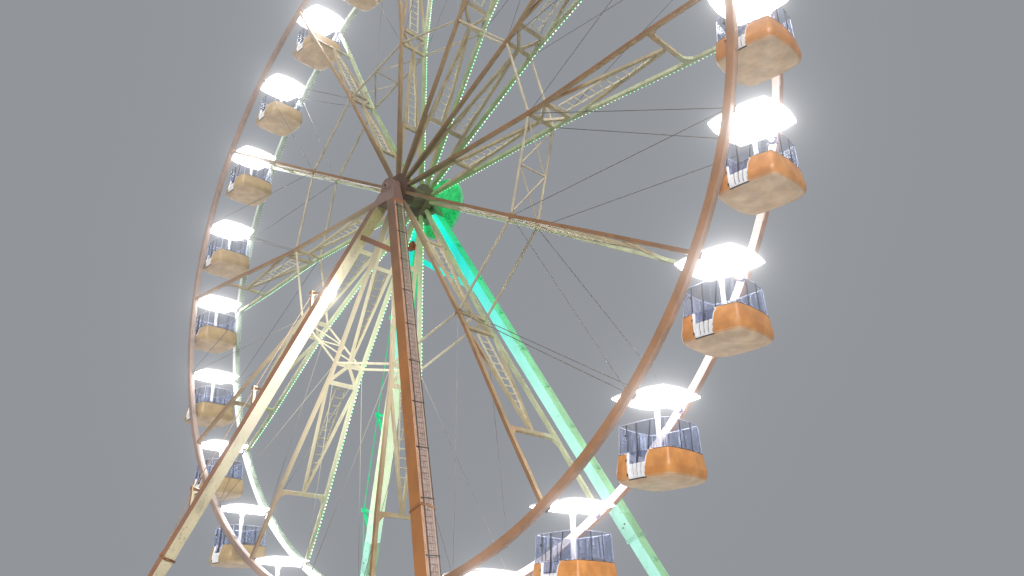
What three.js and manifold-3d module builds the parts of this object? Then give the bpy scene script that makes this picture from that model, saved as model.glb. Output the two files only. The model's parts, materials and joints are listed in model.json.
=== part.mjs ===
// Ferris wheel of about 31 m: two rings carried by twelve double spokes, twenty-four gondolas
// that stay level between the rings, two leaning A-frames, a base frame and a boarding deck.
// Millimetres, +Z up. The wheel turns about the Y axis, and its front faces -Y.
// The origin is on the ground straight below the hub.

import * as THREE from 'three';
import { mergeVertices } from 'three/addons/utils/BufferGeometryUtils.js';
import Module from 'manifold-3d';

const wasm = await Module();
wasm.setup();

// Wheel
const ringRadius = 14000; // centre line of a ring, where the gondolas hang
const hubHeight = 17200;
const ringOffset = 1090; // from the middle plane to the centre line of a ring
const ringDepth = 220; // radially
const ringWidth = 200; // along the axle
const ringFacets = 72;
const spokeCount = 12;
const gondolaCount = 24;
const restTurn = THREE.MathUtils.degToRad(1); // the first spoke stands this far above the horizontal

// Spokes: two chords that run level from the hub flanges to the knot and then spread to the rings.
// Each pair is a radius and the chord's distance from the middle plane there.
const chordLine = [[620, 545], [6900, 575], [11400, 965], [13890, 1105]];
const chordDeep = 110; // in the plane of the wheel
const chordWide = 125; // along the axle
const firstStrutRadius = 2850;
const knotInnerRadius = 6520;
const knotOuterRadius = 7240;
const portalRadius = 11380;
const portalFillet = 430;
const strutSize = 140; // width of the cross struts, which are as deep as the braces
const braceSize = 90;
const tieDiameter = 85;
const stayDiameter = 26;
const latticeBays = [3, 7, 11]; // the bays between two spokes that have cross bracing

// Hub
const journalRadius = 145;
const journalEnd = 1000;
const flangeRadius = 620;
const flangeWidth = 150;
const drumRadius = 340;
const housingRadius = 300;
const housingInner = 650;
const housingOuter = 1060;
const roundFacets = 24;
const discRadius = 1170;
const discOffset = 1500;
const discThickness = 80;

// Supports
const legTopX = 100; // centre lines of the legs at hub height
const legSlopeX = 0.51; // how far a leg leans out for each millimetre down
const legLines = {
  front: { topY: 800, slopeY: 0.284, tieLow: 3500 },
  rear: { topY: 680, slopeY: 0.243, tieLow: 4000 },
};
const legWide = 400; // horizontal section of a leg
const legThick = 410;
const headDrop = 750; // from the axle to the underside of the head
const headRise = 250;
const headOffset = 800; // of the head's top from the middle plane
const headThick = 280; // at the top
const baseHeight = 400;
const baseWidth = 500;
const baseOverhang = 700;
const tieHigh = 1750; // upper end of the diagonal between two legs, below the axle
const legTieSize = 180;
const outriggerDrops = [3900, 7200, 10500]; // below the axle, on the two left legs
const outriggerReach = 900;
const outriggerSize = 90;
const clampSize = 150;
const rodDiameter = 40;

// Boarding deck
const deckTop = 950;
const deckThickness = 60;
const deckHalfLength = 4500;
const deckFront = -6000;
const deckBack = 2300;
const stairHalfWidth = 1400;
const stepCount = 4;
const stepGoing = 300;
const railingHeight = 1100;
const railSection = 45;
const newelSize = 70;

// Gondola, measured down from its pivot. Each plan is a square whose sides bulge outwards:
// reach is half its length in the wheel's plane, the middle of a side stands out by bulge, and
// corner is how much of each side a bevelled corner takes.
const plans = {
  roof: { reach: 780, bulge: 145 },
  roofCrown: { reach: 260, bulge: 40 },
  screenTop: { reach: 710, bulge: 80, corner: 30 },
  tubTop: { reach: 735, bulge: 75, corner: 50 },
  waist: { reach: 800, bulge: 95, corner: 110 },
  side: { reach: 795, bulge: 92, corner: 150 },
  edge: { reach: 735, bulge: 80, corner: 190 },
  underside: { reach: 540, bulge: 60, corner: 180 },
  floor: { reach: 725, bulge: 75, corner: 130 },
};
const planNarrowing = 0.97; // width along the axle as a share of the length
const crossbeamRadius = 60;
const postSize = 95;
const postFillet = 130;
const roofUnder = 80;
const roofEdge = 60;
const roofCrown = 250;
const screenTop = -620;
const tubTop = -1330;
const tubWaist = -1720;
const tubSide = -1900;
const tubEdge = -2000;
const tubBottom = -2060;
const floorLevel = -1930;
const tubWall = 45;
const screenWall = 25;

const seat = 0.3; // gap between pieces that touch

const paint = {
  cream: { color: 0xd8d2c4, roughness: 0.45, metalness: 0.1 },
  steel: { color: 0x8f9394, roughness: 0.5, metalness: 0.6 },
};

// Geometry helpers

function toSolid(geometry) {
  const bare = geometry.clone();
  bare.deleteAttribute('normal');
  bare.deleteAttribute('uv');
  const merged = mergeVertices(bare, 1e-3);
  const vertProperties = Float32Array.from(merged.attributes.position.array);
  const triVerts = Uint32Array.from(merged.index.array);
  return new wasm.Manifold(new wasm.Mesh({ numProp: 3, vertProperties, triVerts }));
}

function toGeometry(solid) {
  const mesh = solid.getMesh();
  const geometry = new THREE.BufferGeometry();
  geometry.setAttribute('position', new THREE.BufferAttribute(mesh.vertProperties, 3));
  geometry.setIndex(new THREE.BufferAttribute(mesh.triVerts, 1));
  return geometry;
}

function fuse(geometries) {
  let whole = toSolid(geometries[0]);
  for (const geometry of geometries.slice(1)) {
    whole = whole.add(toSolid(geometry));
  }
  return toGeometry(whole);
}

function cut(geometry, tools) {
  let whole = toSolid(geometry);
  for (const tool of tools) {
    whole = whole.subtract(toSolid(tool));
  }
  return toGeometry(whole);
}

const point = (x, y, z) => new THREE.Vector3(x, y, z);

// A straight member whose ends may be cut off by planes, so that it lies flush on its neighbour
function member(from, to, makeSection, { side = point(0, 1, 0), startCut, endCut } = {}) {
  const along = to.clone().sub(from);
  const length = along.length();
  along.normalize();
  const across = side.clone().addScaledVector(along, -side.dot(along)).normalize();
  const up = along.clone().cross(across);
  const geometry = makeSection(length);
  geometry.translate(0, 0, length / 2);
  geometry.applyMatrix4(new THREE.Matrix4().makeBasis(across, up, along).setPosition(from));
  const position = geometry.attributes.position;
  const corner = new THREE.Vector3();
  for (let i = 0; i < position.count; i += 1) {
    corner.fromBufferAttribute(position, i);
    const isStart = corner.clone().sub(from).dot(along) < length / 2;
    const plane = isStart ? startCut : endCut;
    if (plane) {
      corner.addScaledVector(along, -plane.distanceToPoint(corner) / along.dot(plane.normal));
      position.setXYZ(i, corner.x, corner.y, corner.z);
    }
  }
  return geometry;
}

function beam(from, to, wide, deep, options) {
  return member(from, to, (length) => new THREE.BoxGeometry(wide, deep, length), options);
}

function bar(from, to, diameter, facets, options) {
  const makeSection = (length) => {
    return new THREE.CylinderGeometry(diameter / 2, diameter / 2, length, facets).rotateX(Math.PI / 2);
  };
  return member(from, to, makeSection, options);
}

function box(lowX, highX, lowY, highY, lowZ, highZ) {
  const geometry = new THREE.BoxGeometry(highX - lowX, highY - lowY, highZ - lowZ);
  return geometry.translate((lowX + highX) / 2, (lowY + highY) / 2, (lowZ + highZ) / 2);
}

// A round piece on the Y axis, from one offset to another
function roundAlongY(radius, fromY, toY, facets, turn = 0) {
  const geometry = new THREE.CylinderGeometry(radius, radius, toY - fromY, facets);
  return geometry.rotateY(turn).translate(0, (fromY + toY) / 2, 0);
}

const planeAt = (normal, anchor) => new THREE.Plane().setFromNormalAndCoplanarPoint(normal, anchor);

// Model

const ferrisWheel = new THREE.Group();
const wheel = new THREE.Group();
wheel.position.z = hubHeight;
ferrisWheel.add(wheel);

function place(parent, name, geometry, finish) {
  const mesh = new THREE.Mesh(geometry, new THREE.MeshStandardMaterial(finish));
  mesh.name = name;
  parent.add(mesh);
  return mesh;
}

const twoDigits = (number) => String(number).padStart(2, '0');

// Rings

function ringGeometry(offset) {
  const outline = (radius) => {
    const points = [];
    const toCorner = radius / Math.cos(Math.PI / ringFacets);
    for (let i = 0; i < ringFacets; i += 1) {
      const angle = ((i + 0.5) * 2 * Math.PI) / ringFacets;
      points.push(new THREE.Vector2(toCorner * Math.cos(angle), toCorner * Math.sin(angle)));
    }
    return points;
  };
  const shape = new THREE.Shape(outline(ringRadius + ringDepth / 2));
  shape.holes.push(new THREE.Path(outline(ringRadius - ringDepth / 2)));
  const geometry = new THREE.ExtrudeGeometry(shape, { depth: ringWidth, bevelEnabled: false });
  return geometry.rotateX(Math.PI / 2).translate(0, offset + ringWidth / 2, 0);
}

for (const [name, offset] of [['front_ring', -ringOffset], ['rear_ring', ringOffset]]) {
  place(wheel, name, ringGeometry(offset), paint.cream).rotation.y = -restTurn;
}

// Spokes. In a spoke's own frame X runs outwards, Y along the axle and Z round the wheel.

function chordOffset(radius) {
  let k = 1;
  while (k < chordLine.length - 1 && chordLine[k][0] < radius) {
    k += 1;
  }
  const [lowRadius, lowOffset] = chordLine[k - 1];
  const [highRadius, highOffset] = chordLine[k];
  return THREE.MathUtils.mapLinear(radius, lowRadius, highRadius, lowOffset, highOffset);
}

const onChord = (radius, side) => point(radius, side * chordOffset(radius), 0);

// The inner V starts on the chords at the hub and ends in the knot
const innerOffset = (radius) => {
  return THREE.MathUtils.mapLinear(radius, flangeRadius, knotInnerRadius, chordOffset(flangeRadius), 0);
};

// A chord together with the plate that closes the wedge between it and the inner V near the hub
function chord(side) {
  const half = chordWide / 2;
  const start = flangeRadius + seat;
  const end = ringRadius - ringDepth / 2 - seat;
  const knees = chordLine.slice(1, -1).map(([radius]) => radius);
  const outer = [start, ...knees, end].map((radius) => [radius, chordOffset(radius) + half]);
  const inner = [start, firstStrutRadius + strutSize / 2, ...knees, end].map((radius) => {
    return [radius, chordOffset(radius) - half];
  });
  inner.splice(1, 0, [firstStrutRadius, innerOffset(firstStrutRadius) - braceSize / 2]);
  const corners = [...outer, ...inner.reverse()];
  const shape = new THREE.Shape(corners.map(([radius, offset]) => new THREE.Vector2(radius, side * offset)));
  const geometry = new THREE.ExtrudeGeometry(shape, { depth: chordDeep, bevelEnabled: false });
  return geometry.translate(0, 0, -chordDeep / 2);
}

function crossStrut(radius) {
  return beam(onChord(radius, -1), onChord(radius, 1), strutSize, braceSize, { side: point(1, 0, 0) });
}

// The rounded inner corner between the portal's crosspiece and a chord
function portalCorner(side) {
  const reach = chordOffset(portalRadius) - chordWide / 4;
  const shape = new THREE.Shape();
  shape.moveTo(0, 0);
  shape.lineTo(portalFillet, 0);
  shape.quadraticCurveTo(0, 0, 0, portalFillet);
  shape.closePath();
  const settings = { depth: braceSize, bevelEnabled: false, curveSegments: 3 };
  const corner = new THREE.ExtrudeGeometry(shape, settings);
  corner.translate(0, 0, -braceSize / 2);
  if (side > 0) {
    corner.rotateX(Math.PI);
  }
  return corner.translate(portalRadius + strutSize / 3, side * reach, 0);
}

// A tube from one spoke's knot to the next spoke's knot, flush on the chords of both
function bayTie(side, radius, size) {
  const step = (2 * Math.PI) / spokeCount;
  const offset = side * chordOffset(radius);
  const from = point(radius, offset, 0);
  const to = point(radius * Math.cos(step), offset, radius * Math.sin(step));
  const roundNext = point(-Math.sin(step), 0, Math.cos(step));
  const endCut = planeAt(roundNext, to.clone().addScaledVector(roundNext, -chordDeep / 2 - seat));
  return bar(from, to, size, 6, { endCut });
}

// Cross bracing between the two tubes of a bay, with a post in the middle
function bayLattice() {
  const step = (2 * Math.PI) / spokeCount;
  const offset = chordOffset(knotInnerRadius);
  const along = (share, side) => {
    const radius = knotInnerRadius;
    const x = radius * (1 + share * (Math.cos(step) - 1));
    return point(x, side * offset, share * radius * Math.sin(step));
  };
  const pieces = [];
  const marks = [0.04, 0.5, 0.96];
  for (let half = 0; half < 2; half += 1) {
    pieces.push(bar(along(marks[half], -1), along(marks[half + 1], 1), 60, 4));
    pieces.push(bar(along(marks[half], 1), along(marks[half + 1], -1), 60, 4));
  }
  pieces.push(bar(along(0.5, -1), along(0.5, 1), 70, 4, { side: point(1, 0, 0) }));
  return pieces;
}

// A thin stay from the knot to the gondola bearing halfway to the next spoke
function stay(side, direction) {
  const angle = (direction * Math.PI) / spokeCount;
  const inwards = point(-Math.cos(angle), 0, -Math.sin(angle));
  const from = onChord(knotInnerRadius, side);
  const outer = ringRadius - ringDepth / 2 - seat;
  const to = point(outer * Math.cos(angle), side * ringOffset, outer * Math.sin(angle));
  to.addScaledVector(point(-Math.sin(angle), 0, Math.cos(angle)), -direction * stayDiameter);
  return bar(from, to, stayDiameter, 4, { endCut: planeAt(inwards, to) });
}

function spokeGeometry(index) {
  const knotCentre = point(knotInnerRadius, 0, 0);
  const portalCentre = point(portalRadius, 0, 0);
  const pieces = [
    crossStrut(firstStrutRadius),
    crossStrut(knotInnerRadius),
    crossStrut(knotOuterRadius),
    crossStrut(portalRadius),
  ];
  for (const side of [-1, 1]) {
    pieces.push(chord(side));
    const innerStart = firstStrutRadius - strutSize;
    const innerFoot = point(innerStart, side * innerOffset(innerStart), 0);
    pieces.push(beam(innerFoot, knotCentre, braceSize, braceSize));
    pieces.push(beam(knotCentre, onChord(knotOuterRadius, side), braceSize, braceSize));
    pieces.push(beam(onChord(knotOuterRadius, side), portalCentre, braceSize, braceSize));
    pieces.push(portalCorner(side));
    pieces.push(bayTie(side, knotInnerRadius, tieDiameter));
    pieces.push(stay(side, 1));
    pieces.push(stay(side, -1));
  }
  if (latticeBays.includes(index)) {
    pieces.push(...bayLattice());
  }
  return fuse(pieces);
}

const plainSpoke = spokeGeometry(-1);
const latticeSpoke = spokeGeometry(latticeBays[0]);

for (let index = 0; index < spokeCount; index += 1) {
  const geometry = latticeBays.includes(index) ? latticeSpoke : plainSpoke;
  const spoke = place(wheel, `spoke_${twoDigits(index + 1)}`, geometry, paint.cream);
  spoke.rotation.y = -restTurn - (index * 2 * Math.PI) / spokeCount;
}

// Hub: a shaft and drum with two flanges, whose flats carry the spokes

function hubGeometry() {
  const flangeMiddle = chordOffset(flangeRadius);
  const toCorner = flangeRadius / Math.cos(Math.PI / spokeCount);
  const halfStep = Math.PI / spokeCount;
  const pieces = [
    roundAlongY(journalRadius, -journalEnd, journalEnd, roundFacets, Math.PI / roundFacets),
    roundAlongY(drumRadius, -flangeMiddle, flangeMiddle, roundFacets),
  ];
  for (const side of [-1, 1]) {
    const middle = side * flangeMiddle;
    const low = middle - flangeWidth / 2;
    pieces.push(roundAlongY(toCorner, low, low + flangeWidth, spokeCount, Math.PI / 2 + halfStep));
  }
  return fuse(pieces);
}

place(wheel, 'hub', hubGeometry(), paint.steel).rotation.y = -restTurn;

// Gondolas

// A square outline with bulging sides: two points on each side, and one or two at each corner
function bulgedOutline({ reach, bulge, corner = 0 }, inset = 0) {
  const halfX = reach - inset;
  const halfY = reach * planNarrowing - inset;
  const points = [];
  for (let side = 0; side < 4; side += 1) {
    const [out, half] = side % 2 === 0 ? [halfX, halfY] : [halfY, halfX];
    const bevel = 1 - corner / half;
    const shares = corner > 0 ? [-bevel, -1 / 3, 1 / 3, bevel] : [-1, -1 / 3, 1 / 3];
    for (const share of shares) {
      const spot = new THREE.Vector2(out + bulge * (1 - share ** 2), share * half);
      points.push(spot.rotateAround(new THREE.Vector2(), (side * Math.PI) / 2));
    }
  }
  return points;
}

// A closed solid through level outlines with the same number of corners
function loft(levels) {
  const positions = [];
  const indices = [];
  const count = levels[0].outline.length;
  for (const { outline, z } of levels) {
    for (const corner of outline) {
      positions.push(corner.x, corner.y, z);
    }
  }
  for (let level = 0; level + 1 < levels.length; level += 1) {
    for (let i = 0; i < count; i += 1) {
      const next = (i + 1) % count;
      const a = level * count + i;
      const b = level * count + next;
      indices.push(a, b, b + count, a, b + count, a + count);
    }
  }
  const top = (levels.length - 1) * count;
  for (let i = 1; i + 1 < count; i += 1) {
    indices.push(0, i + 1, i, top, top + i, top + i + 1);
  }
  const geometry = new THREE.BufferGeometry();
  geometry.setAttribute('position', new THREE.Float32BufferAttribute(positions, 3));
  geometry.setIndex(indices);
  return geometry;
}

// The tub with its clear screens: a shallow dish, the walls up to the widest line and the top rail
function shellGeometry() {
  const outside = loft([
    { outline: bulgedOutline(plans.underside), z: tubBottom },
    { outline: bulgedOutline(plans.edge), z: tubEdge },
    { outline: bulgedOutline(plans.side), z: tubSide },
    { outline: bulgedOutline(plans.waist), z: tubWaist },
    { outline: bulgedOutline(plans.tubTop), z: tubTop },
    { outline: bulgedOutline(plans.screenTop), z: screenTop },
  ]);
  const inside = loft([
    { outline: bulgedOutline(plans.floor), z: floorLevel },
    { outline: bulgedOutline(plans.tubTop, tubWall), z: tubTop },
    { outline: bulgedOutline(plans.screenTop, screenWall), z: screenTop + 10 },
  ]);
  return cut(outside, [inside]);
}

// The rounded corner between the middle post and the crossbeam
function postCorner(side) {
  const shape = new THREE.Shape();
  shape.moveTo(0, 0);
  shape.lineTo(postFillet, 0);
  shape.quadraticCurveTo(0, 0, 0, -postFillet);
  shape.closePath();
  const settings = { depth: postSize, bevelEnabled: false, curveSegments: 2 };
  const corner = new THREE.ExtrudeGeometry(shape, settings);
  corner.translate(0, 0, -postSize / 2).rotateX(Math.PI / 2).rotateZ(side * (Math.PI / 2));
  return corner.translate(0, side * (postSize / 3), -crossbeamRadius * 0.75);
}

function gondolaGeometry() {
  const roof = loft([
    { outline: bulgedOutline(plans.roof), z: roofUnder },
    { outline: bulgedOutline(plans.roof), z: roofUnder + roofEdge },
    { outline: bulgedOutline(plans.roofCrown), z: roofCrown },
  ]);
  const pinEnd = ringOffset - ringWidth / 2 - seat;
  const half = postSize / 2;
  const post = box(-half, half, -half, half, floorLevel - 40, roofUnder + 20);
  const crossbeam = roundAlongY(crossbeamRadius, -pinEnd, pinEnd, 6, Math.PI / 6);
  return fuse([shellGeometry(), post, crossbeam, postCorner(-1), postCorner(1), roof]);
}

const gondola = gondolaGeometry();

for (let index = 0; index < gondolaCount; index += 1) {
  const angle = restTurn + (index * 2 * Math.PI) / gondolaCount;
  const mesh = place(wheel, `gondola_${twoDigits(index + 1)}`, gondola, paint.cream);
  mesh.position.set(ringRadius * Math.cos(angle), 0, ringRadius * Math.sin(angle));
}

// Supports. A leg's centre line leans outwards both ways as it goes down.

const legCentre = (drop, sideX, sideY) => {
  const { topY, slopeY } = sideY < 0 ? legLines.front : legLines.rear;
  return point(sideX * (legTopX + legSlopeX * drop), sideY * (topY + slopeY * drop), hubHeight - drop);
};

function rectangleOutline(centre, wide, thick) {
  const halfX = wide / 2;
  const halfY = thick / 2;
  const corners = [[halfX, -halfY], [halfX, halfY], [-halfX, halfY], [-halfX, -halfY]];
  return corners.map(([x, y]) => new THREE.Vector2(centre.x + x, centre.y + y));
}

function outriggerTip(drop, sideY) {
  const outwards = point(-1, 0, legSlopeX).normalize();
  return legCentre(drop, -1, sideY).addScaledVector(outwards, outriggerReach);
}

// A triangle of two struts on the outer side of a leg, with a clamp block for the tie rod
function outrigger(drop, sideY) {
  const upperRoot = legCentre(drop - 150, -1, sideY);
  const lowerRoot = legCentre(drop + 800, -1, sideY);
  const tip = outriggerTip(drop, sideY);
  const half = clampSize / 2;
  const clamp = box(-half, half, -half, half, -half, half).translate(tip.x, tip.y, tip.z);
  return [
    clamp,
    beam(upperRoot, tip, outriggerSize, outriggerSize),
    beam(lowerRoot, tip, outriggerSize, outriggerSize),
  ];
}

function legGeometry(sideX, sideY) {
  const footDrop = hubHeight - baseHeight - seat;
  const top = legCentre(headDrop + seat, sideX, sideY);
  const foot = legCentre(footDrop, sideX, sideY);
  const plate = 40;
  const pieces = [
    loft([
      { outline: rectangleOutline(foot, legWide, legThick), z: foot.z },
      { outline: rectangleOutline(top, legWide, legThick), z: top.z },
    ]),
    box(foot.x - 420, foot.x + 420, foot.y - 240, foot.y + 240, foot.z, foot.z + plate),
  ];
  if (sideX < 0) {
    const rodTop = legCentre(headDrop + 500, sideX, sideY);
    const rodFoot = legCentre(outriggerDrops.at(-1) + 3300, sideX, sideY);
    const rodPoints = [rodTop, ...outriggerDrops.map((drop) => outriggerTip(drop, sideY)), rodFoot];
    for (const drop of outriggerDrops) {
      pieces.push(...outrigger(drop, sideY));
    }
    for (let i = 0; i + 1 < rodPoints.length; i += 1) {
      pieces.push(bar(rodPoints[i], rodPoints[i + 1], rodDiameter, 4));
    }
  }
  return fuse(pieces);
}

// The head joins two legs and holds the axle's bearing
function headGeometry(sideY) {
  const lowCentre = point(0, legCentre(headDrop, 0, sideY).y, 0);
  const highCentre = point(0, sideY * headOffset, 0);
  const slab = loft([
    { outline: rectangleOutline(lowCentre, 1380, legThick), z: hubHeight - headDrop },
    { outline: rectangleOutline(highCentre, 400, headThick), z: hubHeight + headRise },
  ]);
  const near = sideY > 0 ? housingInner : -housingOuter;
  const housing = roundAlongY(housingRadius, near, near + housingOuter - housingInner, roundFacets);
  const boreRadius = (journalRadius + seat) / Math.cos(Math.PI / roundFacets);
  const bore = roundAlongY(boreRadius, near - 100, near + housingOuter - housingInner + 100, roundFacets);
  housing.translate(0, 0, hubHeight);
  bore.translate(0, 0, hubHeight);
  return cut(fuse([slab, housing]), [bore]);
}

// The diagonal that braces the two legs of one A-frame, on their outer faces' middle plane
function legTieGeometry(sideY) {
  const left = legCentre(tieHigh, -1, sideY);
  const { tieLow } = sideY < 0 ? legLines.front : legLines.rear;
  const right = legCentre(tieLow, 1, sideY);
  const cutPlane = (sideX, end) => {
    const acrossLeg = point(sideX, 0, legSlopeX).normalize();
    const face = end.clone().addScaledVector(point(-sideX, 0, 0), legWide / 2 + seat);
    return planeAt(acrossLeg, face);
  };
  return beam(left, right, legTieSize, legTieSize, {
    startCut: cutPlane(-1, left),
    endCut: cutPlane(1, right),
  });
}

for (const [endName, sideY] of [['front', -1], ['rear', 1]]) {
  place(ferrisWheel, `${endName}_head`, headGeometry(sideY), paint.cream);
  place(ferrisWheel, `${endName}_left_leg`, legGeometry(-1, sideY), paint.cream);
  place(ferrisWheel, `${endName}_right_leg`, legGeometry(1, sideY), paint.cream);
  place(ferrisWheel, `${endName}_leg_tie`, legTieGeometry(sideY), paint.cream);
}

// The disc of lights behind the rear bearing
const discGeometry = fuse([
  roundAlongY(housingRadius - 60, housingOuter + seat, discOffset, roundFacets),
  roundAlongY(discRadius, discOffset - discThickness / 2, discOffset + discThickness / 2, 48),
]);
place(ferrisWheel, 'light_disc', discGeometry, paint.steel).position.z = hubHeight;

// Base frame

const footX = legCentre(hubHeight - baseHeight, 1, 1).x;
const frontFootY = legCentre(hubHeight - baseHeight, 1, -1).y;
const rearFootY = legCentre(hubHeight - baseHeight, 1, 1).y;
const beamEnd = footX + baseOverhang;
const beamHalf = baseWidth / 2;

for (const [endName, y] of [['front', frontFootY], ['rear', rearFootY]]) {
  const geometry = box(-beamEnd, beamEnd, y - beamHalf, y + beamHalf, 0, baseHeight);
  place(ferrisWheel, `${endName}_base_beam`, geometry, paint.cream);
}
for (const [sideName, x] of [['left', -footX], ['middle', 0], ['right', footX]]) {
  const low = frontFootY + beamHalf + seat;
  const high = rearFootY - beamHalf - seat;
  const geometry = box(x - beamHalf, x + beamHalf, low, high, 0, baseHeight);
  place(ferrisWheel, `${sideName}_cross_beam`, geometry, paint.cream);
}

// Boarding deck with its posts, steps and railings

// The deck stands on the front base beam and the middle cross beam, and on posts of its own
function deckGeometry() {
  const under = deckTop - deckThickness;
  const pieces = [box(-deckHalfLength, deckHalfLength, deckFront, deckBack, under, deckTop)];
  const postHalf = 60;
  const addPost = (x, y, foot) => {
    pieces.push(box(x - postHalf, x + postHalf, y - postHalf, y + postHalf, foot, under + 20));
  };
  for (const x of [-4300, -1500, 1500, 4300]) {
    addPost(x, frontFootY, baseHeight + seat);
    addPost(x, -2300, 0);
    addPost(x, deckBack - 150, 0);
  }
  for (const y of [-2300, deckBack - 150]) {
    addPost(0, y, baseHeight + seat);
  }
  return fuse(pieces);
}

// Four treads, with a newel post and a sloping handrail on each side
function stepsGeometry() {
  const rise = deckTop / (stepCount + 1);
  const back = deckFront - seat;
  const pieces = [];
  for (let step = 0; step < stepCount; step += 1) {
    const far = back - stepGoing * (stepCount - step);
    pieces.push(box(-stairHalfWidth, stairHalfWidth, far, back, 0, rise * (step + 1)));
  }
  for (const side of [-1, 1]) {
    const x = side * (stairHalfWidth - newelSize / 2);
    const half = newelSize / 2;
    const far = back - stepGoing * stepCount;
    pieces.push(box(x - half, x + half, back - newelSize, back, 0, deckTop + railingHeight));
    pieces.push(box(x - half, x + half, far, far + newelSize, 0, rise + railingHeight));
    const low = point(x, far + half, rise + railingHeight - half);
    const high = point(x, back - half, deckTop + railingHeight - half);
    pieces.push(beam(low, high, railSection, railSection, { side: point(1, 0, 0) }));
  }
  return fuse(pieces);
}

// A railing of posts, a top rail and a middle rail along straight runs
function railingGeometry(corners) {
  const pieces = [];
  const foot = deckTop + seat;
  const top = deckTop + railingHeight;
  for (let run = 0; run + 1 < corners.length; run += 1) {
    const [ax, ay] = corners[run];
    const [bx, by] = corners[run + 1];
    for (const height of [top - railSection / 2, deckTop + railingHeight / 2]) {
      const side = point(0, 0, 1);
      pieces.push(beam(point(ax, ay, height), point(bx, by, height), railSection, railSection, { side }));
    }
    const bays = Math.max(1, Math.round(Math.hypot(bx - ax, by - ay) / 2300));
    for (let i = run === 0 ? 0 : 1; i <= bays; i += 1) {
      const x = ax + ((bx - ax) * i) / bays;
      const y = ay + ((by - ay) * i) / bays;
      pieces.push(box(x - 30, x + 30, y - 30, y + 30, foot, top));
    }
  }
  return fuse(pieces);
}

const railLineX = deckHalfLength - 60;
const railLineFront = deckFront + 60;
const railLineBack = deckBack - 60;

place(ferrisWheel, 'deck', deckGeometry(), paint.steel);
place(ferrisWheel, 'steps', stepsGeometry(), paint.steel);
place(ferrisWheel, 'rear_railing', railingGeometry([
  [-railLineX, 1500],
  [-railLineX, railLineBack],
  [railLineX, railLineBack],
  [railLineX, 1500],
]), paint.steel);
place(ferrisWheel, 'front_left_railing', railingGeometry([
  [-railLineX, -1700],
  [-railLineX, railLineFront],
  [30 - stairHalfWidth, railLineFront],
]), paint.steel);
place(ferrisWheel, 'front_right_railing', railingGeometry([
  [railLineX, -1700],
  [railLineX, railLineFront],
  [stairHalfWidth - 30, railLineFront],
]), paint.steel);

export default ferrisWheel;
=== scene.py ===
# Ferris wheel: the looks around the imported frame. Metres, +Z up, the axle along Y.

import json
import math
import bmesh
import bpy
from mathutils import Matrix, Vector


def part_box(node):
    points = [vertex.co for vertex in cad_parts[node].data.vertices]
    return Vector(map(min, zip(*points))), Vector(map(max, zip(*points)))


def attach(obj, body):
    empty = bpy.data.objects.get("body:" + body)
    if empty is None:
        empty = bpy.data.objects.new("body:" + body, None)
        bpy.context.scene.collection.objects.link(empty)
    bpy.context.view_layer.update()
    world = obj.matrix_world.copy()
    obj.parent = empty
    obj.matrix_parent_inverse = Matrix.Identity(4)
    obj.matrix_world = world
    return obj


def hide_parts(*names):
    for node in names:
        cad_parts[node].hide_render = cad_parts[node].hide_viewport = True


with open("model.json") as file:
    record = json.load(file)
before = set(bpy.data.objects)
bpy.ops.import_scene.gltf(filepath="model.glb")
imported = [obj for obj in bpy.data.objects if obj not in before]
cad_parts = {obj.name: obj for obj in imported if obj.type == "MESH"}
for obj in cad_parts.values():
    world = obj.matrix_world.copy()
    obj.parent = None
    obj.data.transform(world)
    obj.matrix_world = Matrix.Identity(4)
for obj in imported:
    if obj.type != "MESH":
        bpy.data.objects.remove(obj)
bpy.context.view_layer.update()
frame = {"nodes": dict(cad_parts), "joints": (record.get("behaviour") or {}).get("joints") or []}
print("frame loaded:", len(frame["nodes"]), "nodes")

# Places read from the frame
pivots = {j["child"]: Vector(j["pos_m"]) for j in frame["joints"] if j["child"] != "wheel"}
hubCentre = Vector(next(j["pos_m"] for j in frame["joints"] if j["child"] == "wheel"))
firstPivot = pivots["gondola_01"] - hubCentre
ringRadius = firstPivot.length
restTurn = math.atan2(firstPivot.z, firstPivot.x)
ringLow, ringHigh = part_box("rear_ring")
ringWidth = ringHigh.y - ringLow.y
ringOffset = (ringHigh.y + ringLow.y) / 2

# The spokes, as the frame has them
spokeSizes = {
    "count": 12, "innerKnot": 6.52, "outerKnot": 7.24, "portal": 11.38, "chordWide": 0.125,
    # a chord's centre line: distance from the axle, and from the middle plane
    "chordLine": ((0.62, 0.545), (6.9, 0.575), (11.4, 0.965), (13.89, 1.105)),
}

# The legs' centre lines, as the frame has them
legSizes = {
    "topX": 0.1, "slopeX": 0.51, "wide": 0.4, "thick": 0.41, "footDrop": 16.8,
    # y at hub height, and per metre down
    "lines": {"front": (-0.8, -0.284), "rear": (0.68, 0.243)},
}

tau = 2 * math.pi
upwards = Vector((0, 0, 1))
axleCentre = Vector((0, 0, hubCentre.z))


# Small helpers

def blend(a, b, share):
    return a + (b - a) * share


def lookUp(table, place):
    # each row: a place and its values; between two rows the values are blended
    for low, high in zip(table, table[1:]):
        if place <= high[0]:
            share = max(0.0, (place - low[0]) / (high[0] - low[0]))
            return tuple(blend(a, b, share) for a, b in zip(low[1:], high[1:]))
    return table[-1][1:]


def chordOffset(radius):
    return lookUp(spokeSizes["chordLine"], radius)[0]


def braceOffset(radius):
    # the centre line of the V braces inside a spoke
    knot, outer, portal = (spokeSizes[key] for key in ("innerKnot", "outerKnot", "portal"))
    if radius < knot:
        root, offset = spokeSizes["chordLine"][0]
        return offset * (knot - radius) / (knot - root)
    return chordOffset(outer) * (portal - radius) / (portal - outer)


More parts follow.
